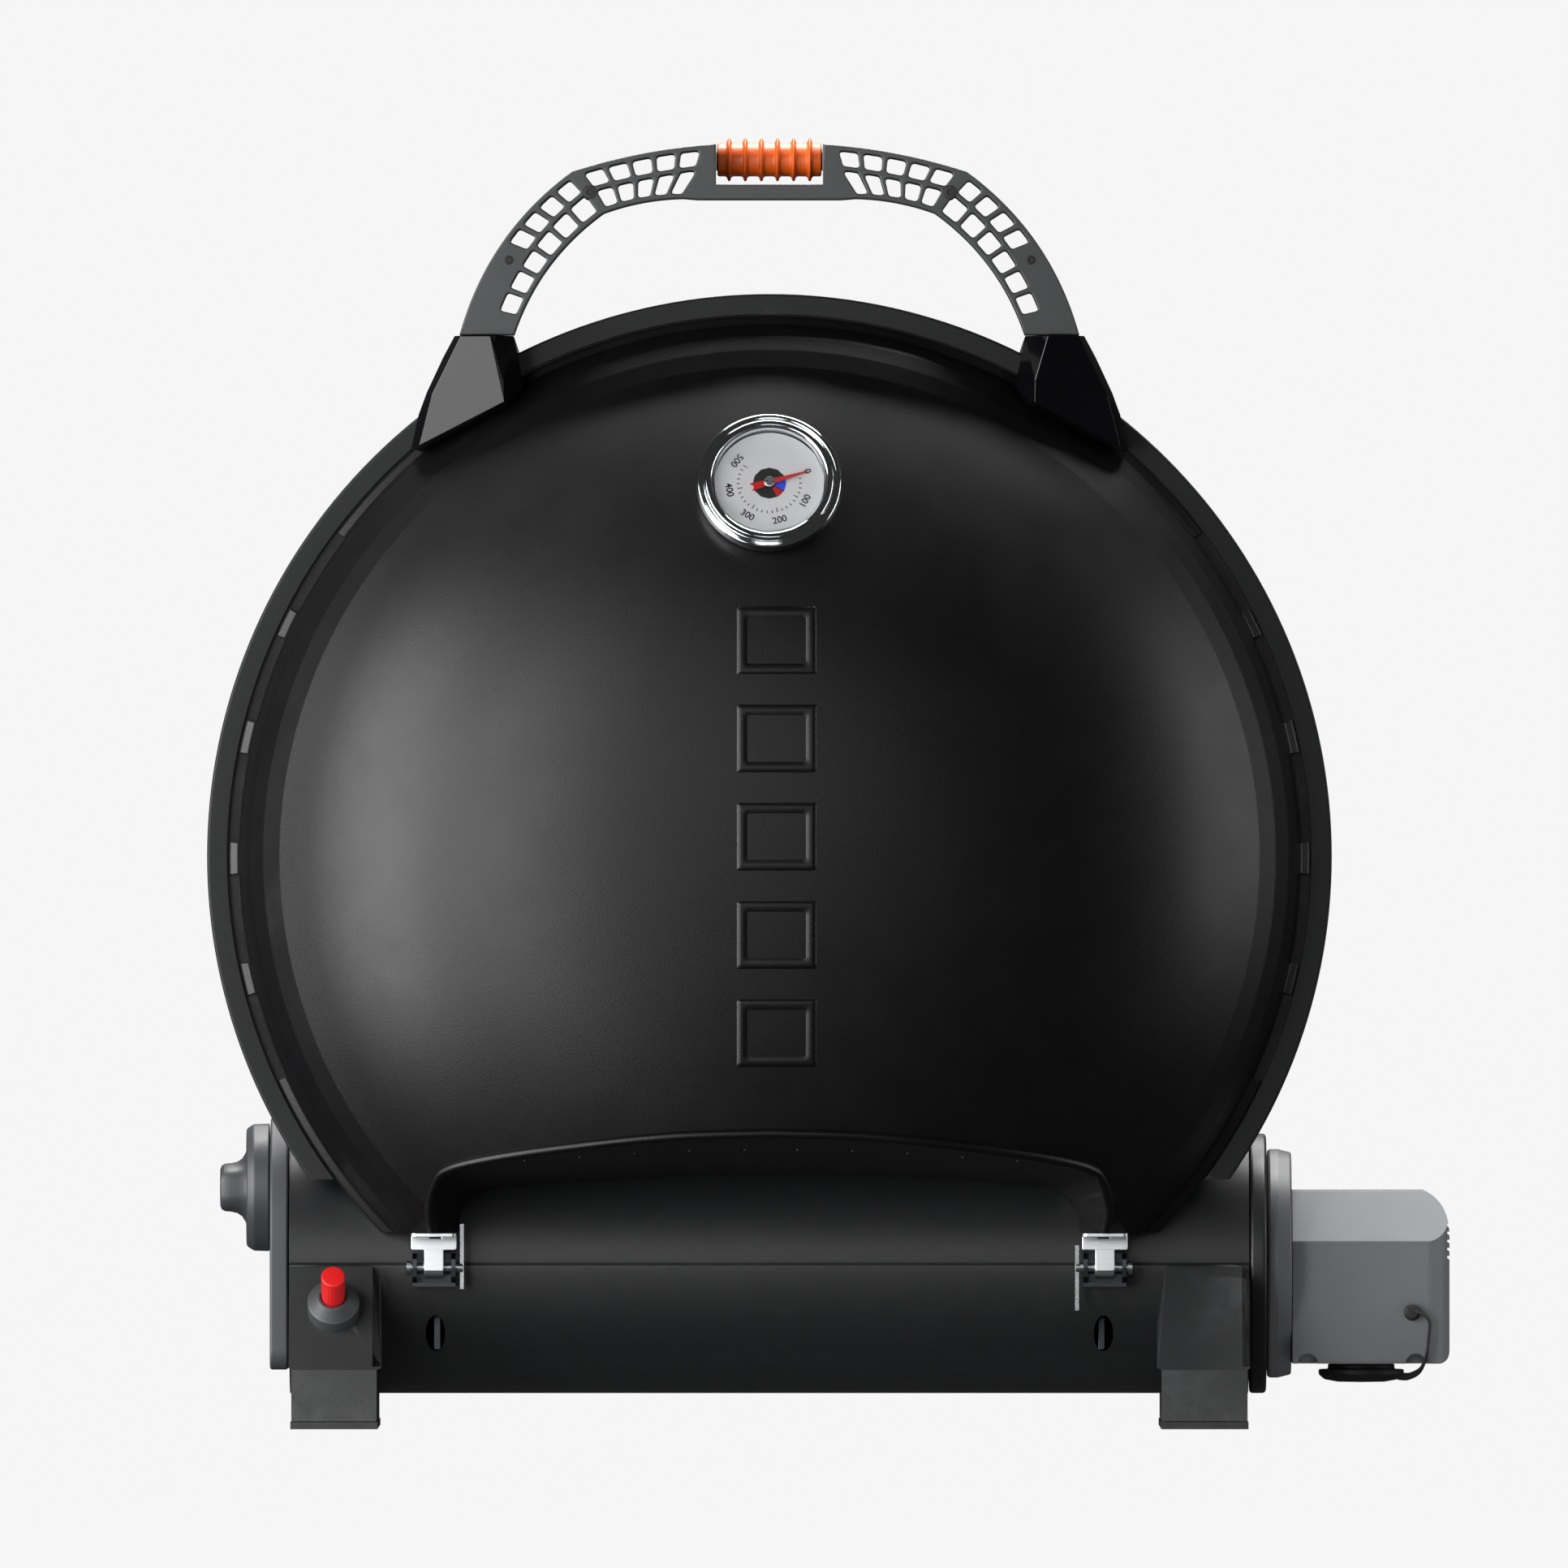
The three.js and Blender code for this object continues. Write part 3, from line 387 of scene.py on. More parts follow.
# name, colour, patch colour, roughness, grain scale, grain depth, rubbed colour, wear, dust, fixed values,
# unevenness and patch scale
COATS = [
    ("black_enamel", "020203", "040405", 0.4, 1500, 0.00016, "3a3b3d", 0.2, 0.004,
     {"Specular IOR Level": 0.28}, 0.02, 4.0),
    ("satin_black_paint", "0e0f10", "121314", 0.42, 1300, 0.0001, "4a4b4d", 0.25, 0.005,
     {"Specular IOR Level": 0.45}, 0.012, 3.0),
    ("rim_grey", "0e0f10", "121314", 0.5, 1100, 0.0001, "4a4b4d", 0.25, 0.01, {"Specular IOR Level": 0.22},
     0.02),
    ("foot_plastic", "141516", "18191a", 0.5, 1700, 0.00014, "4c4d4f", 0.3, 0.01, None, 0.02),
    ("dark_plastic", "2b2c2e", "303133", 0.52, 1700, 0.00014, "626365", 0.3, 0.01, None, 0.02),
    ("handle_plastic", "242526", "2a2b2c", 0.46, 1700, 0.00014, "5c5d5f", 0.3, 0.03, None, 0.02),
    ("gloss_plastic", "050506", "08080a", 0.12, 700, 0.00002, "2c2d2f", 0.2, 0.02, GLOSSY, 0.02),
    ("grey_plastic", "505154", "56575a", 0.5, 1700, 0.00014, "9b9c9e", 0.25, 0.03,
     {"Specular IOR Level": 0.26}, 0.02),
    ("knob_grey", "26272a", "2b2c2f", 0.48, 1700, 0.00014, "7d7e80", 0.3, 0.03, None, 0.02),
    ("collar_grey", "3b3c3e", "414244", 0.45, 1700, 0.00012, "7d7e80", 0.3, 0.03, None, 0.02),
    ("orange_plastic", "bb4a08", "c4510b", 0.42, 1400, 0.0001, "f59a52", 0.35, 0.03,
     {"Subsurface Weight": 0.04, "Subsurface Radius": (0.004, 0.002, 0.001)}),
    ("red_plastic", "a50a0c", "b01214", 0.34, 1400, 0.00008, "e45a52", 0.3, 0.02),
    ("black_rubber", "08080a", "0d0d0e", 0.6, 1900, 0.00012, "343536", 0.2, 0.01),
    ("cast_iron", "141415", "1c1c1d", 0.6, 420, 0.0004, "3c3c3d", 0.4, 0.03, {"Metallic": 0.2}, 0.06),
    ("dial_silver", "c4c5c7", "cbccce", 0.5, 1600, 0.00004, None, 0, 0, {"Metallic": 0.1}),
    ("dial_black", "101113", "15161a", 0.5, 1600, 0.00003, None, 0, 0),
    ("dial_blue", "2440c8", "2c4ad4", 0.45, 1600, 0.00003, None, 0, 0),
    ("ceramic", "e6e2d8", "efece4", 0.3, 900, 0.00004, "ffffff", 0.1, 0.05),
]
# name, colour, line colour, roughness and depth of the lines
METALS = [
    ("steel", "d6d8da", "bfc2c5", 0.2, 0.12),
    ("bright_steel", "f2f4f6", "e8eaec", 0.34, 0.03),
    # this steel is darkened as painted shade: the hinge brackets sit in shadow behind the leaves, and the
    # clamp strips sit down in the oval recesses
    ("shade_darkened_steel", "46484b", "3a3c3f", 0.32, 0.12),
    ("burner_steel", "8d8a86", "6f6a64", 0.34, 0.2),
    ("chrome", "eceef0", "e0e2e4", 0.05, 0.04),
    ("brass", "b9954a", "9c7a35", 0.26, 0.15),
]
FINISH = {row[0]: coated(*row) for row in COATS}
FINISH.update({row[0]: metal(*row) for row in METALS})


def make_glass():
    material, tree, shader = material_tree("glass", {
        "Base Color": (1, 1, 1, 1), "Transmission Weight": 1.0, "IOR": 1.45, "Metallic": 0.0,
    })
    haze = spread(tree, noise(tree, 45.0, 5.0, 0.6), 0.0, 0.035)
    tree.links.new(haze, shader.inputs["Roughness"])
    return material


FINISH["glass"] = make_glass()

# ---------------------------------------------------------------- drawing shapes


def fillet(points, radius, steps=4, closed=True):
    """An outline or profile with its corners rounded. radius is one number, or one for each corner."""
    out = []
    count = len(points)
    for i, point in enumerate(points):
        r = radius[i] if isinstance(radius, (list, tuple)) else radius
        if r <= 0 or (not closed and i in (0, count - 1)):
            out.append(tuple(point))
            continue
        corner = Vector(point)
        back = Vector(points[i - 1]) - corner
        ahead = Vector(points[(i + 1) % count]) - corner
        angle = back.angle(ahead)
        if angle > math.radians(177):
            out.append(tuple(point))
            continue
        reach = min(r / math.tan(angle / 2), 0.49 * back.length, 0.49 * ahead.length)
        first = corner + back.normalized() * reach
        last = corner + ahead.normalized() * reach
        for k in range(steps + 1):
            t = k / steps
            out.append(tuple(first * (1 - t) ** 2 + corner * 2 * t * (1 - t) + last * t * t))
    return out


def offset(points, t):
    """A line of points moved sideways by t, to the left of its direction. Points on the axis stay on it."""
    out = []
    for i, (r, y) in enumerate(points):
        a = points[max(i - 1, 0)]
        b = points[min(i + 1, len(points) - 1)]
        length = math.hypot(b[0] - a[0], b[1] - a[1])
        out.append((0.0 if r == 0 else r - t * (b[1] - a[1]) / length, y + t * (b[0] - a[0]) / length))
    return out


def aimed(axis, s, u, v):
    """A point that lies s along an axis and (u, v) across it."""
    return {"x": (s, u, v), "y": (u, s, v), "z": (u, v, s)}[axis]


def spun(profile, axis="y", centre=(0, 0, 0), sides=96, start=0.0, turn=2 * math.pi, warp=None):
    """A closed profile of (radius, along) points turned about an axis: (verts, faces)."""
    whole = abs(turn - 2 * math.pi) < 1e-6
    rings = sides if whole else sides + 1
    count = len(profile)
    verts, faces = [], []
    for k in range(rings):
        a = start + turn * k / sides
        for r, s in profile:
            if warp:
                r = warp(r, s, a)
            spot = aimed(axis, s, r * math.cos(a), r * math.sin(a))
            verts.append(tuple(c + d for c, d in zip(spot, centre)))
    for k in range(sides):
        for i in range(count):
            j, n = (i + 1) % count, (k + 1) % rings
            faces.append((k * count + i, k * count + j, n * count + j, n * count + i))
    if not whole:
        faces.append(tuple(range(count)))
        faces.append(tuple((rings - 1) * count + i for i in reversed(range(count))))
    return verts, faces


def rod(r, low, high, axis, centre, sides):
    """A plain round bar: (verts, faces)."""
    return spun([(0, low), (r, low), (r, high), (0, high)], axis, centre, sides)


def prism(outline, axis, low, high):
    """An outline pushed along an axis: (verts, faces)."""
    count = len(outline)
    verts = [aimed(axis, s, u, v) for s in (low, high) for u, v in outline]
    faces = [(i, (i + 1) % count, count + (i + 1) % count, count + i) for i in range(count)]
    return verts, faces + [tuple(range(count)), tuple(range(2 * count - 1, count - 1, -1))]


def block(low, high):
    """A box between two corners: (verts, faces)."""
    outline = [(low[0], low[1]), (high[0], low[1]), (high[0], high[1]), (low[0], high[1])]
    return prism(outline, "z", low[2], high[2])


def skinned(rings, closed_ends=True):
    """Rings of points, skinned one to the next: (verts, faces)."""
    count = len(rings[0])
    verts = [p for ring in rings for p in ring]
    faces = []
    for k in range(len(rings) - 1):
        for i in range(count):
            j = (i + 1) % count
            faces.append((k * count + i, k * count + j, (k + 1) * count + j, (k + 1) * count + i))
    if closed_ends:
        faces.append(tuple(range(count)))
        faces.append(tuple((len(rings) - 1) * count + i for i in reversed(range(count))))
    return verts, faces


def smooth_line(points, steps):
    """A Catmull-Rom line through points."""
    pts = [Vector(p) for p in points]
    pts = [pts[0] * 2 - pts[1], *pts, pts[-1] * 2 - pts[-2]]
    out = []
    for i in range(1, len(pts) - 2):
        a, b, c, d = pts[i - 1 : i + 3]
        for k in range(steps):
            t = k / steps
            second, third = 2 * a - 5 * b + 4 * c - d, 3 * b - a - 3 * c + d
            out.append(0.5 * (2 * b + (c - a) * t + second * t**2 + third * t**3))
    return [*out, pts[-2]]


def swept(line, section, up=(0, 0, 1)):
    """A cross-section of (across, over) points carried along a line: (verts, faces)."""
    rings = []
    side = None
    for i, p in enumerate(line):
        ahead = (line[min(i + 1, len(line) - 1)] - line[max(i - 1, 0)]).normalized()
        if side is None:
            side = ahead.cross(Vector(up))
        side = (side - ahead * side.dot(ahead)).normalized()
        over = side.cross(ahead)
        rings.append([tuple(p + side * u + over * v) for u, v in section])
    return skinned(rings)


def round_section(r, sides=16, middle=(0, 0)):
    turns = [2 * math.pi * i / sides for i in range(sides)]
    return [(middle[0] + r * math.cos(a), middle[1] + r * math.sin(a)) for a in turns]


def bevelled_plate(outline, axis, low, high, edge, holes=()):
    """A plate with rounded edges round its outline and its holes: (verts, faces)."""
    curve = bpy.data.curves.new("plate", "CURVE")
    curve.dimensions, curve.fill_mode = "2D", "BOTH"
    curve.extrude, curve.bevel_depth = (high - low) / 2 - edge, edge
    curve.bevel_resolution, curve.offset = 2, -edge
    for line in [outline, *holes]:
        spline = curve.splines.new("POLY")
        spline.points.add(len(line) - 1)
        for point, (u, v) in zip(spline.points, line):
            point.co = (u, v, 0, 1)
        spline.use_cyclic_u = True
    holder = thing_of("plate", curve)
    mesh = final_mesh(holder)
    middle = (low + high) / 2
    verts = [aimed(axis, middle + vert.co.z, vert.co.x, vert.co.y) for vert in mesh.vertices]
    faces = [tuple(p.vertices) for p in mesh.polygons]
    bpy.data.objects.remove(holder)
    bpy.data.curves.remove(curve)
    bpy.data.meshes.remove(mesh)
    return verts, faces


def joined(*shapes):
    """Several (verts, faces) shapes as one."""
    verts, faces = [], []
    for v, f in shapes:
        base = len(verts)
        verts.extend(v)
        faces.extend(tuple(base + i for i in face) for face in f)
    return verts, faces


def turned_by(shape, matrix):
    verts, faces = shape
    return [tuple(matrix @ Vector(v)) for v in verts], faces


def mirror(shape):
    verts, faces = shape
    return [(-x, y, z) for x, y, z in verts], [tuple(reversed(f)) for f in faces]


def body_of(name, shape):
    """A bare object from a shape in millimetres of the drawing, its faces turned outwards."""
    verts, faces = shape
    mesh = bpy.data.meshes.new(name)
    mesh.from_pydata([place(*v) for v in verts], [], faces)
    work = bmesh.new()
    work.from_mesh(mesh)
    bmesh.ops.remove_doubles(work, verts=work.verts, dist=2e-6)
    bmesh.ops.dissolve_degenerate(work, edges=work.edges, dist=1e-6)
    bmesh.ops.recalc_face_normals(work, faces=work.faces)
    work.to_mesh(mesh)
    work.free()
    return thing_of(name, mesh)


def settle(thing):
    """Applies a thing's modifiers to its mesh."""
    mesh = final_mesh(thing)
    thing.modifiers.clear()
    thing.data = mesh


def carve(thing, shapes, operation="DIFFERENCE"):
    """Takes shapes away from a thing, or keeps what they share."""
    for shape in shapes:
        tool = shape if isinstance(shape, bpy.types.Object) else body_of("tool", shape)
        change = thing.modifiers.new("carve", "BOOLEAN")
        change.operation, change.solver, change.object = operation, "MANIFOLD", tool
        settle(thing)
        bpy.data.objects.remove(tool)
    return thing


def soften(thing, width, segments=3, angle=32):
    """Rounds a thing's sharp edges by a width in millimetres."""
    edge = thing.modifiers.new("soften", "BEVEL")
    edge.width, edge.segments = width * MM, segments
    edge.limit_method, edge.angle_limit = "ANGLE", math.radians(angle)
    edge.harden_normals = True
    return thing


def dress(thing, finish, body, stands_for=(), sharp=38):
    """Gives a thing its finish and shading, and sets it on its body."""
    thing.data.materials.clear()
    thing.data.materials.append(FINISH[finish])
    thing.data.polygons.foreach_set("use_smooth", [True] * len(thing.data.polygons))
    thing.data.set_sharp_from_angle(angle=math.radians(sharp))
    if body:
        flats = thing.modifiers.new("flats", "WEIGHTED_NORMAL")
        flats.keep_sharp, flats.weight = True, 90
        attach(thing, body)
    if stands_for:
        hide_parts(*stands_for)
    return thing


def make(name, shape, finish, body, stands_for=(), edge=0.0, sharp=38):
    thing = body_of(name, shape)
    if edge:
        soften(thing, edge)
        settle(thing)
    return dress(thing, finish, body, stands_for, sharp)


# ---------------------------------------------------------------- lid


def fall(r):
    """How far the lid's dome has fallen back from its top at a radius."""
    return 0.000705 * r * r + 2e-8 * r**4


def turned_body(profile, sides=192, extra=()):
    return spun([*profile, *extra], "y", (0, 0, BODY_Z), sides)


DOME = [(198 * i / 40, fall(198 * i / 40) - LID["depth"]) for i in range(41)]
SHOULDER = [
    (205, -33.05), (212, -25.4), (217.5, -17.6), (221, -10.5), (222.6, -6.2), (226.4, -4.2),
    (226.4, LID["edge"]),
]
LID_PROFILE = fillet([*DOME, *SHOULDER], [0] * 41 + [5, 9, 12, 10, 2.0, 1.9, 0], 5, closed=False)
ARCH_HALF = [
    (130, 30), (130, 82.3), (128.9, 90.8), (123.8, 97.9), (117.6, 101), (100, 102.9), (63.4, 105),
    (32, 106.5), (0, 107),
]
ARCH_RISE = 24.7


def arch_line(t=0.0):
    """The arched cut-out's outline at the rim, from right foot to left foot, smoothed and grown by t."""
    right = [ARCH_HALF[0], *[tuple(p)[:2] for p in smooth_line([(x, z, 0) for x, z in ARCH_HALF[1:]], 6)]]
    left = [(-x, z) for x, z in reversed(right[:-1])]
    half, rise = ARCH_HALF[0][0], ARCH_RISE
    return [(x * (half + t) / half, LID["foot"] + (z - LID["foot"]) * (rise + t) / rise)
            for x, z in [*right, *left]]


def arch_at(depth, x, z):
    return (x * (1 + 0.00298 * depth), -depth, LID["foot"] + (z - LID["foot"]) * (1 + 0.00759 * depth))


def arch_tool(t):
    line = arch_line(t)
    return skinned([[arch_at(d, x, z) for x, z in line] for d in (-3, 110)])


def under(z):
    return block((-300, -150, -60), (300, 200, z))


def gauge_tool(shape):
    """Moves a shape drawn about the Y axis to the gauge's place and slope."""
    y = fall(GAUGE["z"] - BODY_Z) - GAUGE["seat"]
    return turned_by(shape, Matrix.Translation((0, y, GAUGE["z"])) @ Matrix.Rotation(-GAUGE["tilt"], 4, "X"))


def lid_vents():
    shapes = []
    for middle in (32.05, 19.4, 6.3, -6.7, -19.7):
        notch = block((LID["r"] - 6, -7.5, -19), (LID["r"] + 6, 1, 19))
        turn = Matrix.Translation((0, 0, BODY_Z)) @ Matrix.Rotation(-math.radians(middle), 4, "Y")
        notch = turned_by(notch, turn)
        shapes += [notch, mirror(notch)]
    for x, z in ((11, 117.3), (34, 116.6), (57, 115), (80, 113), (103, 109.5)):
        for side in (-x, x):
            shapes.append(rod(1.4, z - 6, z + 6, "z", (side, -55, 0), 16))
    return shapes


def make_lid():
    inside = [*offset(LID_PROFILE, SHEET), (LID["r"] - SHEET, 2), (0, 2)]
    hollow = body_of("hollow", turned_body(inside, 160))
    carve(hollow, [arch_tool(SHEET), under(LID["foot"] + SHEET)])
    shell = body_of("lid_dome", turned_body([*LID_PROFILE, (0, LID["edge"])]))
    hole = gauge_tool(rod(7, -20, 20, "y", (0, 0, 0), 24))
    carve(shell, [arch_tool(0), under(LID["foot"]), hollow, joined(*lid_vents(), hole)])
    dress(shell, "black_enamel", "lid", stands_for=("lid_shell",), sharp=30)


def make_arch_bead():
    """The rolled edge where the arched wall meets the dome."""
    line = []
    for x, z in arch_line()[1:-1]:
        low, high = 0.0, 110.0
        for _ in range(40):
            depth = (low + high) / 2
            px, _, pz = arch_at(depth, x, z)
            r = math.hypot(px, pz - BODY_Z)
            surface = LID["depth"] - fall(r) if r < 205 else 33 - (r - 205) * 0.95
            low, high = (depth, high) if depth < surface else (low, depth)
        line.append(Vector(arch_at(depth + 0.6, x, z + 0.8)))
    make("lid_arch_bead", swept(line, round_section(2.1)), "black_enamel", "lid")


def make_lid_bars():
    """A plain column of low raised bars down the middle of the dome."""
    proud, skirt = 0.55, 1.2
    for n in range(5):
        middle = 330 - 41.0 * n
        half_x, half_z = 17.0, 14.5
        rows, columns = 24, 28
        rings = []
        for i in range(rows + 1):
            ring = []
            for j in range(columns + 1):
                u, v = 2 * j / columns - 1, 2 * i / rows - 1
                x, z = 3 + u * half_x, middle + v * half_z
                inset = min(half_x * (1 - abs(u)), half_z * (1 - abs(v)))
                rise = min(1.0, inset / skirt)
                hollow = 1.0 if inset < 4.2 else max(0.0, 1 - (inset - 4.2) / skirt)
                lift = -0.25 + (proud + 0.25) * (rise * rise * (3 - 2 * rise)) * hollow - 0.3 * (1 - hollow)
                y = fall(math.hypot(x, z - BODY_Z)) - LID["depth"]
                ring.append((x, y - lift, z))
            rings.append(ring)
        verts = [p for ring in rings for p in ring]
        wide = columns + 1
        faces = [
            (i * wide + j, i * wide + j + 1, (i + 1) * wide + j + 1, (i + 1) * wide + j)
            for i in range(rows) for j in range(columns)
        ]
        count = len(verts)
        verts += [(x, y + 1.0, z) for x, y, z in verts]
        faces += [tuple(count + k for k in reversed(face)) for face in faces]
        top = rows * wide
        rim = [*range(wide), *range(2 * wide - 1, top + wide, wide)]
        rim += [*range(top + wide - 2, top - 1, -1), *range(top - wide, 0, -wide)]
        faces += [(a, count + a, count + b, b) for a, b in zip(rim, [*rim[1:], rim[0]])]
        make(f"lid_bar_{n + 1}", (verts, faces), "black_enamel", "lid", sharp=80)


make_lid()
make_arch_bead()
make_lid_bars()

# ---------------------------------------------------------------- bowl and trim

BOWL_PROFILE = fillet(
    [(0, 92), (98, 92), (130, 88.6), (160, 80), (186, 65.5), (204, 48), (214, 30), (219, 12), (220.4, 0)],
    [0, 60, 90, 90, 80, 60, 40, 30, 0], 6, closed=False,
)


def tube_tool(extra):
    return rod(TUBE["r"] + extra, -260, 260, "x", (0, TUBE["y"], TUBE["z"]), 96)


def straight_arch(t):
    return prism(arch_line(t), "y", -5, 130)


def make_bowl():
    inside = [*offset(BOWL_PROFILE, -SHEET)[:-1], (220.4 - SHEET, -2), (0, -2)]
    hollow = carve(
        body_of("hollow", turned_body(inside, 160)),
        [tube_tool(1.1 + SHEET), straight_arch(SHEET), under(LID["foot"] + SHEET)],
    )
    shell = body_of("bowl_pan", turned_body([*BOWL_PROFILE, (0, 0)]))
    lip = body_of("lip", turned_body([(216, 0), (229.9, 0), (229.9, SHEET), (216, SHEET)]))
    carve(lip, [under(104.8)])
    low_lip = [(216, 0.02), (226.2, 0.02), (226.2, SHEET - 0.02), (216, SHEET - 0.02)]
    low_lip = body_of("low_lip", turned_body(low_lip))
    carve(shell, [low_lip, lip], "UNION")
    vents = []
    for i in range(6):
        turn = Matrix.Translation((0, 0, BODY_Z)) @ Matrix.Rotation(math.radians(60 * i), 4, "Y")
        vents.append(turned_by(block((66, 86, -3), (92, 97, 3)), turn))
    holes = [
        rod(9.5, 110, 140, "z", (-60, TUBE["y"], 0), 32),
        rod(2.4, 110, 140, "z", (-38, TUBE["y"], 0), 16),
    ]
    carve(shell, [tube_tool(1.1), straight_arch(0), under(LID["foot"]), hollow, joined(*vents, *holes)])
    dress(shell, "black_enamel", "base", stands_for=("base_bowl",), sharp=30)


def make_trim():
    section = fillet(
        [(226.9, TRIM_FRONT), (235.6, TRIM_FRONT), (235.6, 8), (226.9, 8), (226.9, 2), (230.4, 2),
         (230.4, -0.4), (226.9, -0.4)],
        [0.5, 1.2, 1.2, 0.5, 0.3, 0, 0, 0.3], 3,
    )
    ring = body_of("trim_band", spun(section, "y", (0, 0, BODY_Z), 256))
    carve(ring, [under(104.4)])
    dress(ring, "rim_grey", "base", stands_for=("rim_trim",))


make_bowl()
make_trim()

# ---------------------------------------------------------------- base tube and its ends


def make_tube():
    """The tube, with a fine seam along its front, and an oval opening low on each side."""
    outline = []
    for i in range(144):
        a = 2 * math.pi * i / 144 + math.pi / 144
        outline.append((TUBE["y"] + TUBE["r"] * math.cos(a), TUBE["z"] + TUBE["r"] * math.sin(a)))
    seam = [(0.1, 0.4), (0.32, 0.0), (0.1, -0.4)]
    front = [(y, TUBE["z"] + z) for y, z in seam]
    half = len(outline) // 2
    section = [*outline[:half], *front, *outline[half:]]
    tube = body_of("tube_barrel", prism(section, "x", -201.3, 201))
    core = rod(TUBE["r"] - 2, -203, 203, "x", (0, TUBE["y"], TUBE["z"]), 96)
    ovals = []
    for side in (-140, 140):
        turns = [math.pi * i / 20 for i in range(40)]
        oval = [(side + 4.1 * math.cos(a), 39.8 + 7.5 * math.sin(a)) for a in turns]
        ovals.append(prism(oval, "y", -15, 25))
    carve(tube, [core, joined(*ovals)])
    dress(tube, "satin_black_paint", "base", stands_for=("tube_housing",))
    for side, x in (("left", -139.2), ("right", 139.2)):
        outline = [(x - 1.3, 33), (x + 1.3, 33), (x + 1.3, 47), (x - 1.3, 47)]
        strip = prism(fillet(outline, 0.8), "y", 11.6, 12.6)
        # the strips use the same darkened steel as the hinge brackets, a painted shade for the recesses they
        # sit in
        make(f"{side}_clamp_strip", strip, "shade_darkened_steel", "base", edge=0.2)


def make_ends():
    turns = [math.pi * i / 48 for i in range(49)]
    arc = [(TUBE["y"] + 50.5 * math.cos(a), 79.5 + 50.5 * math.sin(a)) for a in turns]
    outline = [*arc, *fillet([(4, 79), (4, 24.5), (105, 24.5), (105, 79)], [0, 9, 9, 0], 6)]
    plate = body_of("end_cap", bevelled_plate(outline, "x", -209.4, -201.7, 1.1))
    tab = block((-210.5, 1.0, 97.9), (-205.6, 5.4, 102.5))
    carve(plate, [rod(4.5, -212, -200, "x", (0, TUBE["y"], KNOB_Z), 32), tab])
    dress(plate, "dark_plastic", "base", stands_for=("knob_end_plate",))
    disc = fillet([(8, 201.4), (54.5, 201.4), (54.5, 208.5), (8, 208.5)], [0, 1.6, 1.8, 0], 4)
    make("end_disc", spun(disc, "x", (0, TUBE["y"], TUBE["z"]), 144), "satin_black_paint", "base",
         stands_for=("right_end_disc",))


make_tube()
make_ends()

# ---------------------------------------------------------------- knob, igniter and gauge


def superellipse(x, half_y, half_z, power, cy, cz, sides=72):
    ring = []
    for i in range(sides):
        a = 2 * math.pi * i / sides
        c, s = math.cos(a), math.sin(a)
        y = half_y * math.copysign(abs(c) ** (2 / power), c)
        z = half_z * math.copysign(abs(s) ** (2 / power), s)
        ring.append((x, cy + y, cz + z))
    return ring


def make_knob():
    """A round skirt and a grip bar whose flanks sweep in from the skirt."""
    disc = [(0, -209.8), (26.8, -209.8), (26.6, -216.5), (24.6, -219.6), (0, -219.6)]
    disc = fillet(disc, [0, 0.8, 3, 2, 0], 5)
    steps = [
        (-219.2, 24.6, 17.5, 2.2), (-220, 24.3, 14.5, 2.6), (-221.4, 24.1, 12.2, 3), (-223.4, 24, 10.8, 3.4),
        (-226, 24, 10.2, 3.6), (-228.6, 23.8, 10, 3.6), (-230, 23.2, 9.2, 3.4), (-230.5, 22, 8, 3.2),
    ]
    bar = skinned([superellipse(x, hy, hz, p, TUBE["y"], KNOB_Z) for x, hy, hz, p in steps])
    skirt = spun(disc, "x", (0, TUBE["y"], KNOB_Z), 96)
    make("knob_grip", joined(skirt, bar), "knob_grey", "knob",
         stands_for=("control_knob",))


def on_slope(shape):
    spot = Matrix.Translation((BUTTON["x"], BUTTON["y"], BUTTON["z"]))
    return turned_by(shape, spot @ Matrix.Rotation(BUTTON["slope"], 4, "X"))


def make_igniter():
    collar = fillet(
        [(5.3, 0.4), (10.9, 0.4), (10.9, 7.9), (10.2, 8.5), (6.6, 12.5), (5.3, 12.5)],
        [0, 0.4, 0.5, 0.5, 0.5, 0.3], 3,
    )
    make("igniter_cone", on_slope(spun(collar, "y", (0, 0, 0), 64)), "dark_plastic", "base",
         stands_for=("igniter_collar",))
    stem = fillet([(0, 3.6), (5, 3.6), (5, 28.5), (0, 28.5)], [0, 0.4, 0.7, 0], 4)

    def ribs(r, s, a):
        return r * (1 - 0.028 * (0.5 + 0.5 * math.cos(20 * a))) if 4.4 < r and s < 27.6 else r

    make("igniter_stem", on_slope(spun(stem, "y", (0, 0, 0), 160, warp=ribs)), "red_plastic", "button",
         stands_for=("igniter_button",), sharp=60)


def dial_text(name, words, x, z, size, turn, lift=-5.98):
    """Flat figures on the dial. turn is the angle that they are read at."""
    curve = bpy.data.curves.new(name, "FONT")
    curve.body, curve.size = words, size
    curve.align_x = curve.align_y = "CENTER"
    curve.extrude, curve.offset = 0.02, 0.07
    holder = thing_of(name, curve)
    mesh = final_mesh(holder)
    c, s = math.cos(turn), math.sin(turn)
    verts = [(x + c * v.co.x - s * v.co.y, lift - v.co.z, z + s * v.co.x + c * v.co.y) for v in mesh.vertices]
    faces = [tuple(p.vertices) for p in mesh.polygons]
    bpy.data.objects.remove(holder)
    return verts, faces


def dial_wedge(r0, r1, a0, a1, lift=-6.0, thick=0.04):
    """A flat sector of the dial between two radii and two angles."""
    steps = 12
    outline = [(r1 * math.cos(a0 + (a1 - a0) * i / steps), r1 * math.sin(a0 + (a1 - a0) * i / steps))
               for i in range(steps + 1)]
    outline += [(r0 * math.cos(a1 - (a1 - a0) * i / steps), r0 * math.sin(a1 - (a1 - a0) * i / steps))
                for i in range(steps + 1)]
    return prism(outline, "y", lift - thick, lift)


def gauge_ring(profile, sides):
    return gauge_tool(spun(profile, "y", (0, 0, 0), sides))


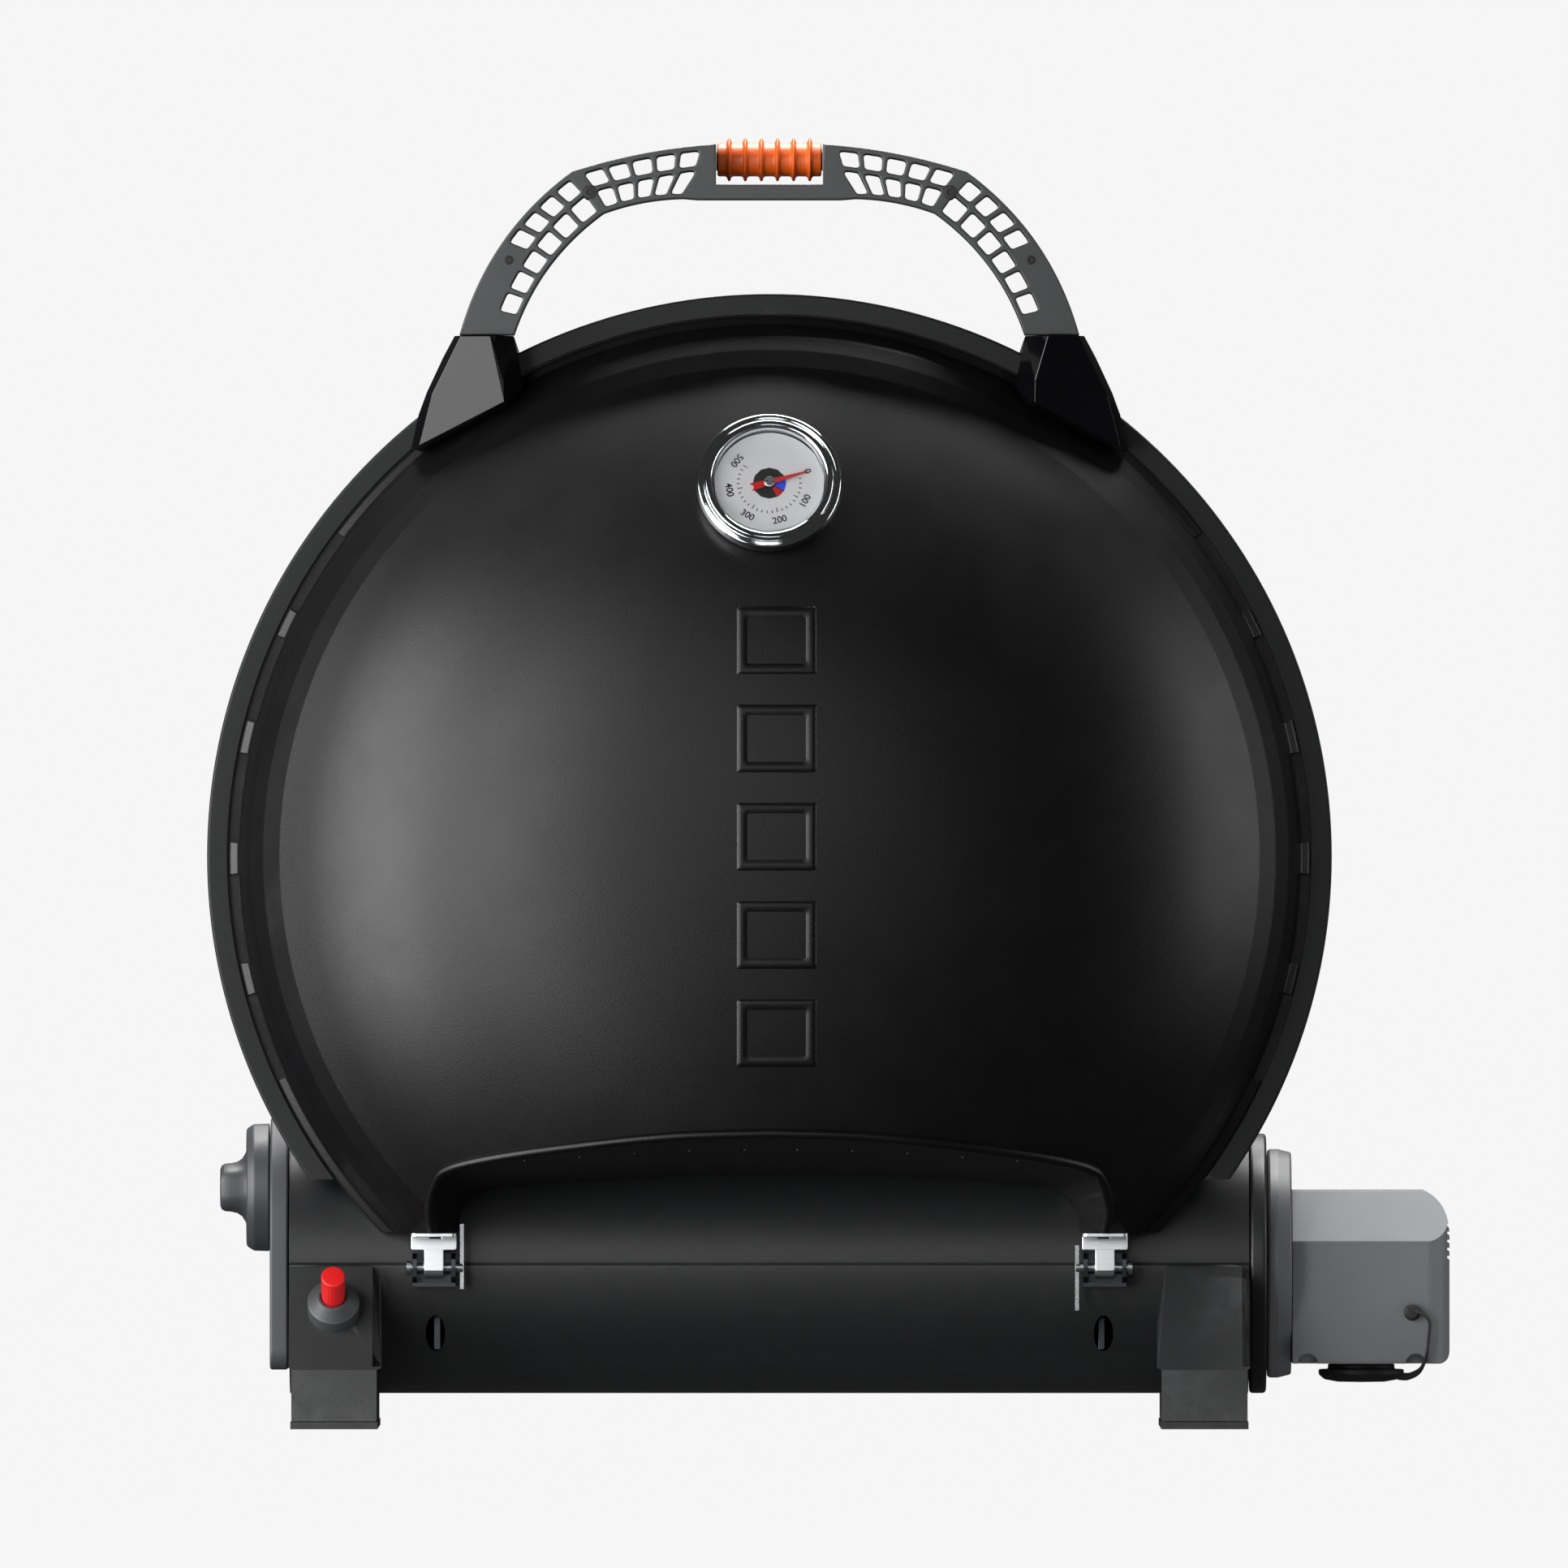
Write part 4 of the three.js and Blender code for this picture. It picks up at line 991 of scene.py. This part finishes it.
def make_gauge():
    case = fillet(
        [(3, -4.4), (3, 9), (5.5, 9), (5.5, -1.8), (26.6, -1.8), (29.4, -3.6), (30.8, -6.6), (29.9, -9.4),
         (28.2, -10.1), (27.6, -9.5), (26.4, -11.2), (24.4, -11.2), (23.6, -9.8), (23.2, -4.4)],
        [0, 0, 0, 0, 2, 1.5, 1.8, 1, 0.4, 0.4, 0.8, 0.8, 0.8, 0], 4,
    )
    make("gauge_bezel", gauge_ring(case, 128), "chrome", "lid", stands_for=("thermometer_case",))
    face = fillet([(1.6, -5.9), (22.8, -5.9), (22.8, -4.8), (1.6, -4.8)], [0, 0.15, 0.1, 0], 2)
    make("gauge_face", gauge_ring(face, 96), "dial_silver", "lid",
         stands_for=("thermometer_dial",))
    glass = fillet([(0, -10), (22.9, -10), (22.9, -9), (0, -9)], [0, 0.3, 0.3, 0], 3)
    make("gauge_glass", gauge_ring(glass, 96), "glass", "lid", stands_for=("thermometer_lens",))
    marks = []
    first, last = math.radians(19), math.radians(-217)
    for n in range(26):
        a = first + (last - first) * n / 25
        long_mark = n % 5 == 0
        marks.append(dial_wedge(11.4 if long_mark else 12.4, 13.6, a - 0.014, a + 0.014))
        if long_mark:
            words = str(100 * n // 5)
            x, z = 17.0 * math.cos(a), 17.0 * math.sin(a)
            marks.append(dial_text(f"figure_{n}", words, x, z, 4.1, a + math.pi / 2))
    make("gauge_marks", gauge_tool(joined(*marks)), "dial_black", "lid")
    make("gauge_centre", gauge_tool(dial_wedge(0.01, 7.0, 0, 2 * math.pi, -6.02, 0.05)), "dial_black", "lid")
    make("gauge_cold_zone", gauge_tool(dial_wedge(2.5, 6.9, math.radians(-30), math.radians(12), -6.1, 0.05)),
         "dial_blue", "lid")
    make("gauge_hot_zone", gauge_tool(dial_wedge(2.5, 6.9, math.radians(-62), math.radians(-34), -6.1, 0.05)),
         "red_plastic", "lid")
    turn = Matrix.Rotation(-math.radians(17), 4, "Y")
    pointer = [(-8, -1.7), (-6.6, 0), (-8, 1.7), (-1, 1.3), (1, 1.2), (16.6, 0.25), (16.6, -0.25),
               (1, -1.2), (-1, -1.3)]
    pointer = prism(pointer, "y", -7.45, -7.05)
    spindle = rod(1.2, -7.1, -2.4, "y", (0, 0, 0), 24)
    shape = joined(turned_by(pointer, turn), spindle)
    make("gauge_pointer", gauge_tool(shape), "red_plastic", "needle", stands_for=("thermometer_needle",))
    hub = fillet([(0, -8.3), (2.3, -8.3), (2.3, -7.46), (0, -7.46)], [0, 0.5, 0.1, 0], 3)
    make("gauge_hub", gauge_ring(hub, 32), "steel", "needle")


make_knob()
make_igniter()
make_gauge()

# ---------------------------------------------------------------- carrying handles, sockets and lock


def bow(a, b, height, steps):
    """Points of an arc from a to b that bows to the left by a height."""
    dx, dz = b[0] - a[0], b[1] - a[1]
    length = math.hypot(dx, dz)
    out = []
    for i in range(steps + 1):
        t = i / steps
        side = 4 * height * t * (1 - t) / length
        out.append((a[0] + dx * t - dz * side, a[1] + dz * t + dx * side))
    return out


RAILS = {
    "outer": [bow((-129.7, 458), (-82.6, 526.3), 7.2, 24), bow((-82.6, 526.3), (-23.5, 537.7), 1.9, 16)],
    "middle": [bow((-117.2, 459.2), (-75.9, 518.6), 5.8, 24), bow((-75.9, 518.6), (-27.2, 528.2), 0.9, 16)],
    "inner": [bow((-106.9, 458), (-69.3, 509), 5.1, 24), bow((-69.3, 509), (-36.1, 515.2), 1.4, 16)],
}


def along(rail, arc, t):
    line = RAILS[rail][arc]
    where = min(t * (len(line) - 1), len(line) - 1.0001)
    i = int(where)
    return Vector(line[i]).lerp(Vector(line[i + 1]), where - i)


def window_row(low, high, arc, count, start, end, rib, inset):
    """The cut-outs between two rails along one arc, their corners rounded."""
    pitch = (end - start + rib) / count
    out = []
    for i in range(count):
        corners = []
        for t, order in ((start + pitch * i, 1), (start + pitch * (i + 1) - rib, -1)):
            a, b = along(low, arc, t), along(high, arc, t)
            span = (b - a).length
            pair = [a.lerp(b, inset[0] / span), a.lerp(b, 1 - inset[1] / span)]
            corners += pair[::order]
        out.append(fillet([tuple(c) for c in corners], 1.5, 3))
    return out


def flip(points):
    return [(-x, z) for x, z in reversed(points)]


WINDOWS = [
    *window_row("inner", "middle", 0, 6, 0.13, 0.972, 0.03, (2.2, 1.0)),
    *window_row("middle", "outer", 0, 4, 0.52, 0.965, 0.03, (1.0, 2.2)),
    *window_row("inner", "middle", 1, 5, 0.06, 0.95, 0.045, (2.2, 1.0)),
    *window_row("middle", "outer", 1, 5, 0.06, 0.92, 0.04, (1.0, 2.2)),
]


def handle_outline():
    edge = [*RAILS["outer"][0], *RAILS["outer"][1][1:], (-22.4, 537.9), (-22.4, 521)]
    inside = [*RAILS["inner"][0], *RAILS["inner"][1][1:], (-30, 514.7)]
    return [*edge, *flip(edge), *[(-x, z) for x, z in inside], *reversed(inside)]


def make_handle(name, node, body, y0, y1, bar_low, bar_high):
    plate = bevelled_plate(handle_outline(), "y", y0, y1, 0.6, [*WINDOWS, *[flip(w) for w in WINDOWS]])
    outline = [(min(max(y, bar_low), bar_high), z) for y, z in round_section(GRIP_R, 48, (0, GRIP_Z))]
    bar = prism(outline, "x", -22.3, 22.3)
    make(name, joined(plate, bar), "handle_plastic", body, stands_for=(node,))
    for side in (-1, 1):
        for n, (x, z) in enumerate(((75.4, 517.6), (109.2, 489.2))):
            y = y0 if body == "lid" else y1
            sign = -1 if body == "lid" else 1
            head = [(0, y), (2.9 - n, y), (2.7 - n, y + 0.5 * sign), (1.2, y + 0.6 * sign),
                    (1.1, y + 0.15 * sign), (0, y + 0.15 * sign)]
            label = f"{body}_handle_screw_{'left' if side < 0 else 'right'}_{n + 1}"
            make(label, spun(head, "y", (side * x, 0, z), 32), "black_rubber", body)


make_handle("front_carry_handle", "lid_handle", "lid", -25, -0.4, -6, 1)
make_handle("rear_carry_handle", "base_handle", "base", 0.4, 25, 1.3, 6)


def hull(points):
    """The convex body round some points: (verts, faces)."""
    work = bmesh.new()
    for p in points:
        work.verts.new(p)
    found = bmesh.ops.convex_hull(work, input=work.verts)
    extra = [e for e in found["geom_interior"] + found["geom_unused"] if isinstance(e, bmesh.types.BMVert)]
    bmesh.ops.delete(work, geom=list(set(extra)), context="VERTS")
    bmesh.ops.dissolve_limit(work, angle_limit=math.radians(1), verts=work.verts, edges=work.edges)
    work.verts.index_update()
    shape = [tuple(v.co) for v in work.verts], [tuple(v.index for v in f.verts) for f in work.faces]
    work.free()
    return shape


SOCKET_FACE = [
    (129.2, -25.6, 457.6), (116.7, -28.6, 457.6), (111.2, -28.9, 439), (111, -28.7, 429.7),
    (146.7, -20.4, 411.4),
    (141.4, -22.6, 432.8),
]
SOCKET_EDGE = [
    (131.8, 457.6), (136.7, 448.4), (143.5, 433.8), (146.9, 424.5), (150, 410.4), (146.1, 409.5), (108, 428),
    (102.7, 435.9), (107.1, 457.6),
]
BOWL_SOCKET_EDGE = [
    (131.8, 457.6), (136.7, 448.4), (143.5, 433.8), (146.9, 424.5), (150, 410.4), (128, 395), (96, 412),
    (99.8, 436),
    (107.1, 457.6),
]


def make_sockets():
    lid_room = [*offset(LID_PROFILE, -0.4), (LID["r"] + 0.4, 6), (0, 6)]
    bowl_room = [*offset(BOWL_PROFILE, 0.4)[:-1], (220.8, -1), (0, -1)]
    trim_room = [(0, -6), (236, -3.4), (236, 8.4), (0, 8.4)]
    front = hull([*SOCKET_FACE, *[(x, y, z) for x, z in SOCKET_EDGE for y in (-3.6, -16)]])
    back = hull([(x, y, z) for x, z in BOWL_SOCKET_EDGE for y in (3.6, 24)]
                + [(x * 0.98 + 2.4, 29, z) for x, z in BOWL_SOCKET_EDGE])
    for side, sign in (("right", 1), ("left", -1)):
        for name, shape, body, node, rooms in (
            ("front_socket", front, "lid", "lid_socket", [lid_room]),
            ("rear_socket", back, "base", "base_socket", [bowl_room, trim_room]),
        ):
            form = shape if sign > 0 else mirror(shape)
            thing = body_of(f"{side}_{name}", form)
            soften(thing, 0.35, 2, 12)
            settle(thing)
            carve(thing, [turned_body(room, 160) for room in rooms])
            dress(thing, "gloss_plastic", body, stands_for=(f"{side}_{node}",), sharp=8)


make_sockets()


def make_lock():
    """A ribbed barrel with a mouth along its back."""
    profile = [(5.0, -21.8), (6.4, -21.8), (7.0, -21.2)]
    for i in range(6):
        x = 6.75 * (i - 2.5)
        profile += [(7.0, x - 1.9), (7.25, x - 1.1), (8.9, x - 0.42), (9.05, x), (8.9, x + 0.42),
                    (7.25, x + 1.1), (7.0, x + 1.9)]
    profile += [(7.0, 21.2), (6.4, 21.8), (5.0, 21.8)]
    mouth = math.radians(65)
    shape = spun(profile, "x", (0, 0, GRIP_Z), 72, mouth, 2 * math.pi - 2 * mouth)
    make("lock_barrel", shape, "orange_plastic", "lock", stands_for=("lock_sleeve",), sharp=50)


make_lock()

# ---------------------------------------------------------------- regulator, dust cap and its strap


NECK_X = 219.3
PORT_X = 248.5


def make_regulator():
    low, high, front, back, end, bevel = 26.9, 99.6, 18, 91, 285.3, 21.6
    side = [(front, low), (back, low), (back, high - bevel), (back - bevel, high), (front + bevel, high),
            (front, high - bevel)]
    top_corner = [(240, high + 2), (end, high + 2), (end, low - 2)]
    low_corner = [(end, 60), (end, low - 0.2), (240, low - 0.2)]
    face = [(NECK_X, low - 2), (NECK_X, high + 2), *fillet(top_corner, [0, 24, 0], 16, closed=False)[1:-1],
            *fillet(low_corner, [0, 6, 0], 8, closed=False)[1:-1], (240, low - 2)]
    shell = body_of("regulator_shell", prism(fillet(side, [3, 3, 2, 2, 2, 2], 4), "x", NECK_X, 286))
    plan = [(NECK_X, front - 2), (end, front - 0.01), (end, back + 0.01), (NECK_X, back + 2)]
    plan = fillet(plan, [0, 13, 13, 0], 10)
    carve(shell, [prism(face, "y", 0, 120), prism(plan, "z", 0, 120)], "INTERSECT")
    soften(shell, 1.4, 3, 30)
    settle(shell)
    tools = [rod(12.6, 20, 44, "z", (PORT_X, TUBE["y"], 0), 64)]
    for x in (225.7, 271):
        tools.append(rod(4.3, 10, 30, "y", (x, 0, low), 40))
    for i in range(5):
        z = 70.5 + 3.4 * i
        tools.append(block((284.3, 20, z), (287, 89, z + 1.5)))
    carve(shell, tools)
    dress(shell, "grey_plastic", "regulator", stands_for=("regulator_housing",), sharp=30)
    collar = [(8, 208.9), (47.2, 208.9), (48, 210), (48, 213.4), (46.6, 219), (8, 219)]
    collar = fillet(collar, [0, 0.6, 0.8, 1, 1.2, 0], 4)
    make("swivel_ring", spun(collar, "x", (0, TUBE["y"], TUBE["z"]), 144), "collar_grey", "regulator",
         stands_for=("swivel_collar",))


def make_dust_cap():
    profile = fillet(
        [(0, 39), (9, 39), (9, 26.5), (14, 26.5), (14, 24.5), (18, 24.3), (17.8, 22), (15.4, 20), (10, 19),
         (0, 18.8)],
        [0, 1, 0.3, 0.6, 0.5, 0.8, 1, 2, 3, 0], 4,
    )
    make("dust_cap", spun(profile, "z", (PORT_X, TUBE["y"], 0), 96), "black_rubber", "cap",
         stands_for=("port_cap",))
    points = [
        (269.4, 15.9, 49.6), (271.6, 15.6, 48.6), (274.6, 15.3, 47.2), (276.7, 15.2, 44), (276.3, 15.2, 38),
        (275.4, 15.8, 30.6), (273, 20, 24.4), (268.4, 28, 21.6), (264.4, 35.4, 21.5),
    ]
    line = smooth_line(points, 8)
    strap = swept(line, fillet([(-0.65, -1.7), (0.65, -1.7), (0.65, 1.7), (-0.65, 1.7)], 0.5, 3), (0, 1, 0))
    stud = fillet([(0, 14.2), (2.4, 14.2), (3.4, 15), (3.4, 17.6), (0, 17.6)], [0, 0.5, 0.6, 0.2, 0], 3)
    thing = make("cap_strap", joined(strap, spun(stud, "y", (269.4, 0, 48.4), 40)), "black_rubber", None,
                 stands_for=("cap_tether",))
    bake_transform(thing)


make_regulator()
make_dust_cap()

# ---------------------------------------------------------------- feet and hinges

FOOT = {"inner": 164.4, "outer": 200.1, "front": -27.4, "back": 136.4, "low": 24.8, "pad": 3.3, "heel": 109.0}
BLOCK = {"inner": 162.5, "outer": 201.2, "face0": 166.2, "face1": 197.9}
TOP_Y = -3.5
SLOPE = math.atan2(TOP_Y - FOOT["front"], TUBE["z"] - FOOT["low"])
FACE_Y = FOOT["front"] + (BUTTON["z"] - FOOT["low"]) * math.tan(SLOPE)


def on_foot_face(shape):
    return turned_by(shape, Matrix.Translation((0, FACE_Y, BUTTON["z"])) @ Matrix.Rotation(-SLOPE, 4, "X"))


def foot_draft(x0, x1):
    """A wedge that slants one side of the foot's front, above its crease."""
    wedge = prism([(x0 - (x1 - x0) * 2, 0), (x1, 0), (x0, 20), (x0 - (x1 - x0) * 2, 20)], "z", -26, 54)
    return carve(body_of("wedge", on_foot_face(wedge)), [under(FOOT["low"] + 0.7)])


def make_foot(side, sign):
    side_view = fillet([
        (6, TUBE["z"]), (TOP_Y, TUBE["z"]), (FOOT["front"], FOOT["low"]), (FOOT["front"], FOOT["pad"]),
        (FOOT["back"], FOOT["pad"]), (FOOT["back"], FOOT["low"]), (FOOT["heel"], TUBE["z"]),
    ], [0, 2.5, 0, 0, 0, 0, 0], 4)
    top_outer = 8 if side == "right" else 1.5
    front_view = fillet([
        (FOOT["inner"], 3), (FOOT["inner"], FOOT["low"]), (BLOCK["inner"], FOOT["low"] + 0.7),
        (BLOCK["inner"], TUBE["z"]), (BLOCK["outer"], TUBE["z"]), (BLOCK["outer"], FOOT["low"] + 0.7),
        (FOOT["outer"], FOOT["low"]), (FOOT["outer"], 3),
    ], [0, 0, 0, 8, top_outer, 0, 0, 0], 6)
    forms = [prism(side_view, "x", 150, 215), prism(front_view, "y", -60, 180)]
    side_form, front_form = [mirror(form) for form in forms] if sign < 0 else forms
    foot = body_of(f"{side}_foot_block", side_form)
    carve(foot, [front_form], "INTERSECT")
    cuts = [tube_tool(0.4), foot_draft(sign * BLOCK["inner"], sign * BLOCK["face0"])]
    if side == "right":
        cuts.append(foot_draft(BLOCK["outer"], BLOCK["face1"]))
    else:
        cuts.append(on_slope(rod(6.6, -14, 6, "y", (0, 0, 0), 40)))
    carve(foot, cuts)
    soften(foot, 1.1, 3, 25)
    settle(foot)
    dress(foot, "foot_plastic", "base", stands_for=(f"{side}_foot_bracket",), sharp=30)


def make_hinge_leaf():
    outline = fillet([
        (-9.5, 82), (-3.1, 82), (-3.1, 79.7), (1.9, 79.7), (1.9, 82), (9.5, 82), (9.5, 74.8), (4, 74.8),
        (4, 66),
        (-4, 66), (-4, 74.8), (-9.5, 74.8),
    ], [0.6, 0.3, 0.3, 0.3, 0.3, 0.6, 0.8, 0.5, 0.8, 0.8, 0.5, 0.8], 3)
    face = bevelled_plate(outline, "y", -11.1, -9.5, 0.3)
    tab = fillet([(-9.5, -26), (9.5, -26), (9.5, -9.8), (-9.5, -9.8)], [2, 2, 0.2, 0.2], 3)
    tab = bevelled_plate(tab, "z", 80.4, 82, 0.25)
    knuckle = spun(fillet([(2.1, -4), (4, -4), (4, 4), (2.1, 4)], 0.4, 3), "x", (0, -6, 67.3), 48)
    web = block((-3.9, -10.6, 66.2), (3.9, -8.6, 68.8))
    return joined(face, tab, knuckle, web)


def shifted(shape, x):
    verts, faces = shape
    return [(v[0] + x, v[1], v[2]) for v in verts], faces


make_foot("right", 1)
make_foot("left", -1)
leaf = shifted(make_hinge_leaf(), HINGE_X)
for side, shape in (("right", leaf), ("left", mirror(leaf))):
    make(f"{side}_hinge_plate", shape, "bright_steel", "lid",
         stands_for=(f"{side}_hinge_leaf",))

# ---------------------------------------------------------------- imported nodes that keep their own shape



def both(*names):
    """The left and the right piece of each name."""
    return [f"{side}_{name}" for name in names for side in ("left", "right")]


KEPT = {
    "dark_plastic": both("leg"),
    # the hinge brackets' dark steel is painted shade, for the shadow they sit in behind the hinge leaves
    "shade_darkened_steel": both("hinge_bracket"),
    "satin_black_paint": both("leg_bracket"),
    "black_rubber": [*both("foot_pad", "leg_pad"), "igniter_module", "igniter_lead"],
    "steel": [*both("hinge_pin", "leg_pin"), "thermometer_probe", "grate_ledge", "drip_pan"],
    "burner_steel": ["burner"],
    "brass": ["valve_stem", "gas_valve", "gas_pipe", "swivel_fitting", "regulator_port"],
    "cast_iron": both("grate"),
    "ceramic": ["igniter_electrode"],
}
EDGE = {"grate": 1.2, "leg": 1.0, "foot_pad": 0.8, "leg_bracket": 0.7}
SMOOTH_ONLY = {
    "burner", "gas_pipe", "igniter_lead", "drip_pan", "grate_ledge", "valve_stem", "swivel_fitting",
    "regulator_port", "igniter_electrode", "igniter_module",
}


def edge_of(node):
    """How far a kept node's edges are rounded, in millimetres."""
    return 1.0 if node == "gas_valve" else EDGE.get(node.partition("_")[2], 0.3)


for finish_name, nodes in KEPT.items():
    for node in nodes:
        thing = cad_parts[node]
        thing.data.materials.clear()
        thing.data.materials.append(FINISH[finish_name])
        if node in SMOOTH_ONLY:
            continue
        flat = thing.modifiers.new("flat", "DECIMATE")
        flat.decimate_type, flat.angle_limit = "DISSOLVE", math.radians(1)
        soften(thing, edge_of(node), 3, 30)
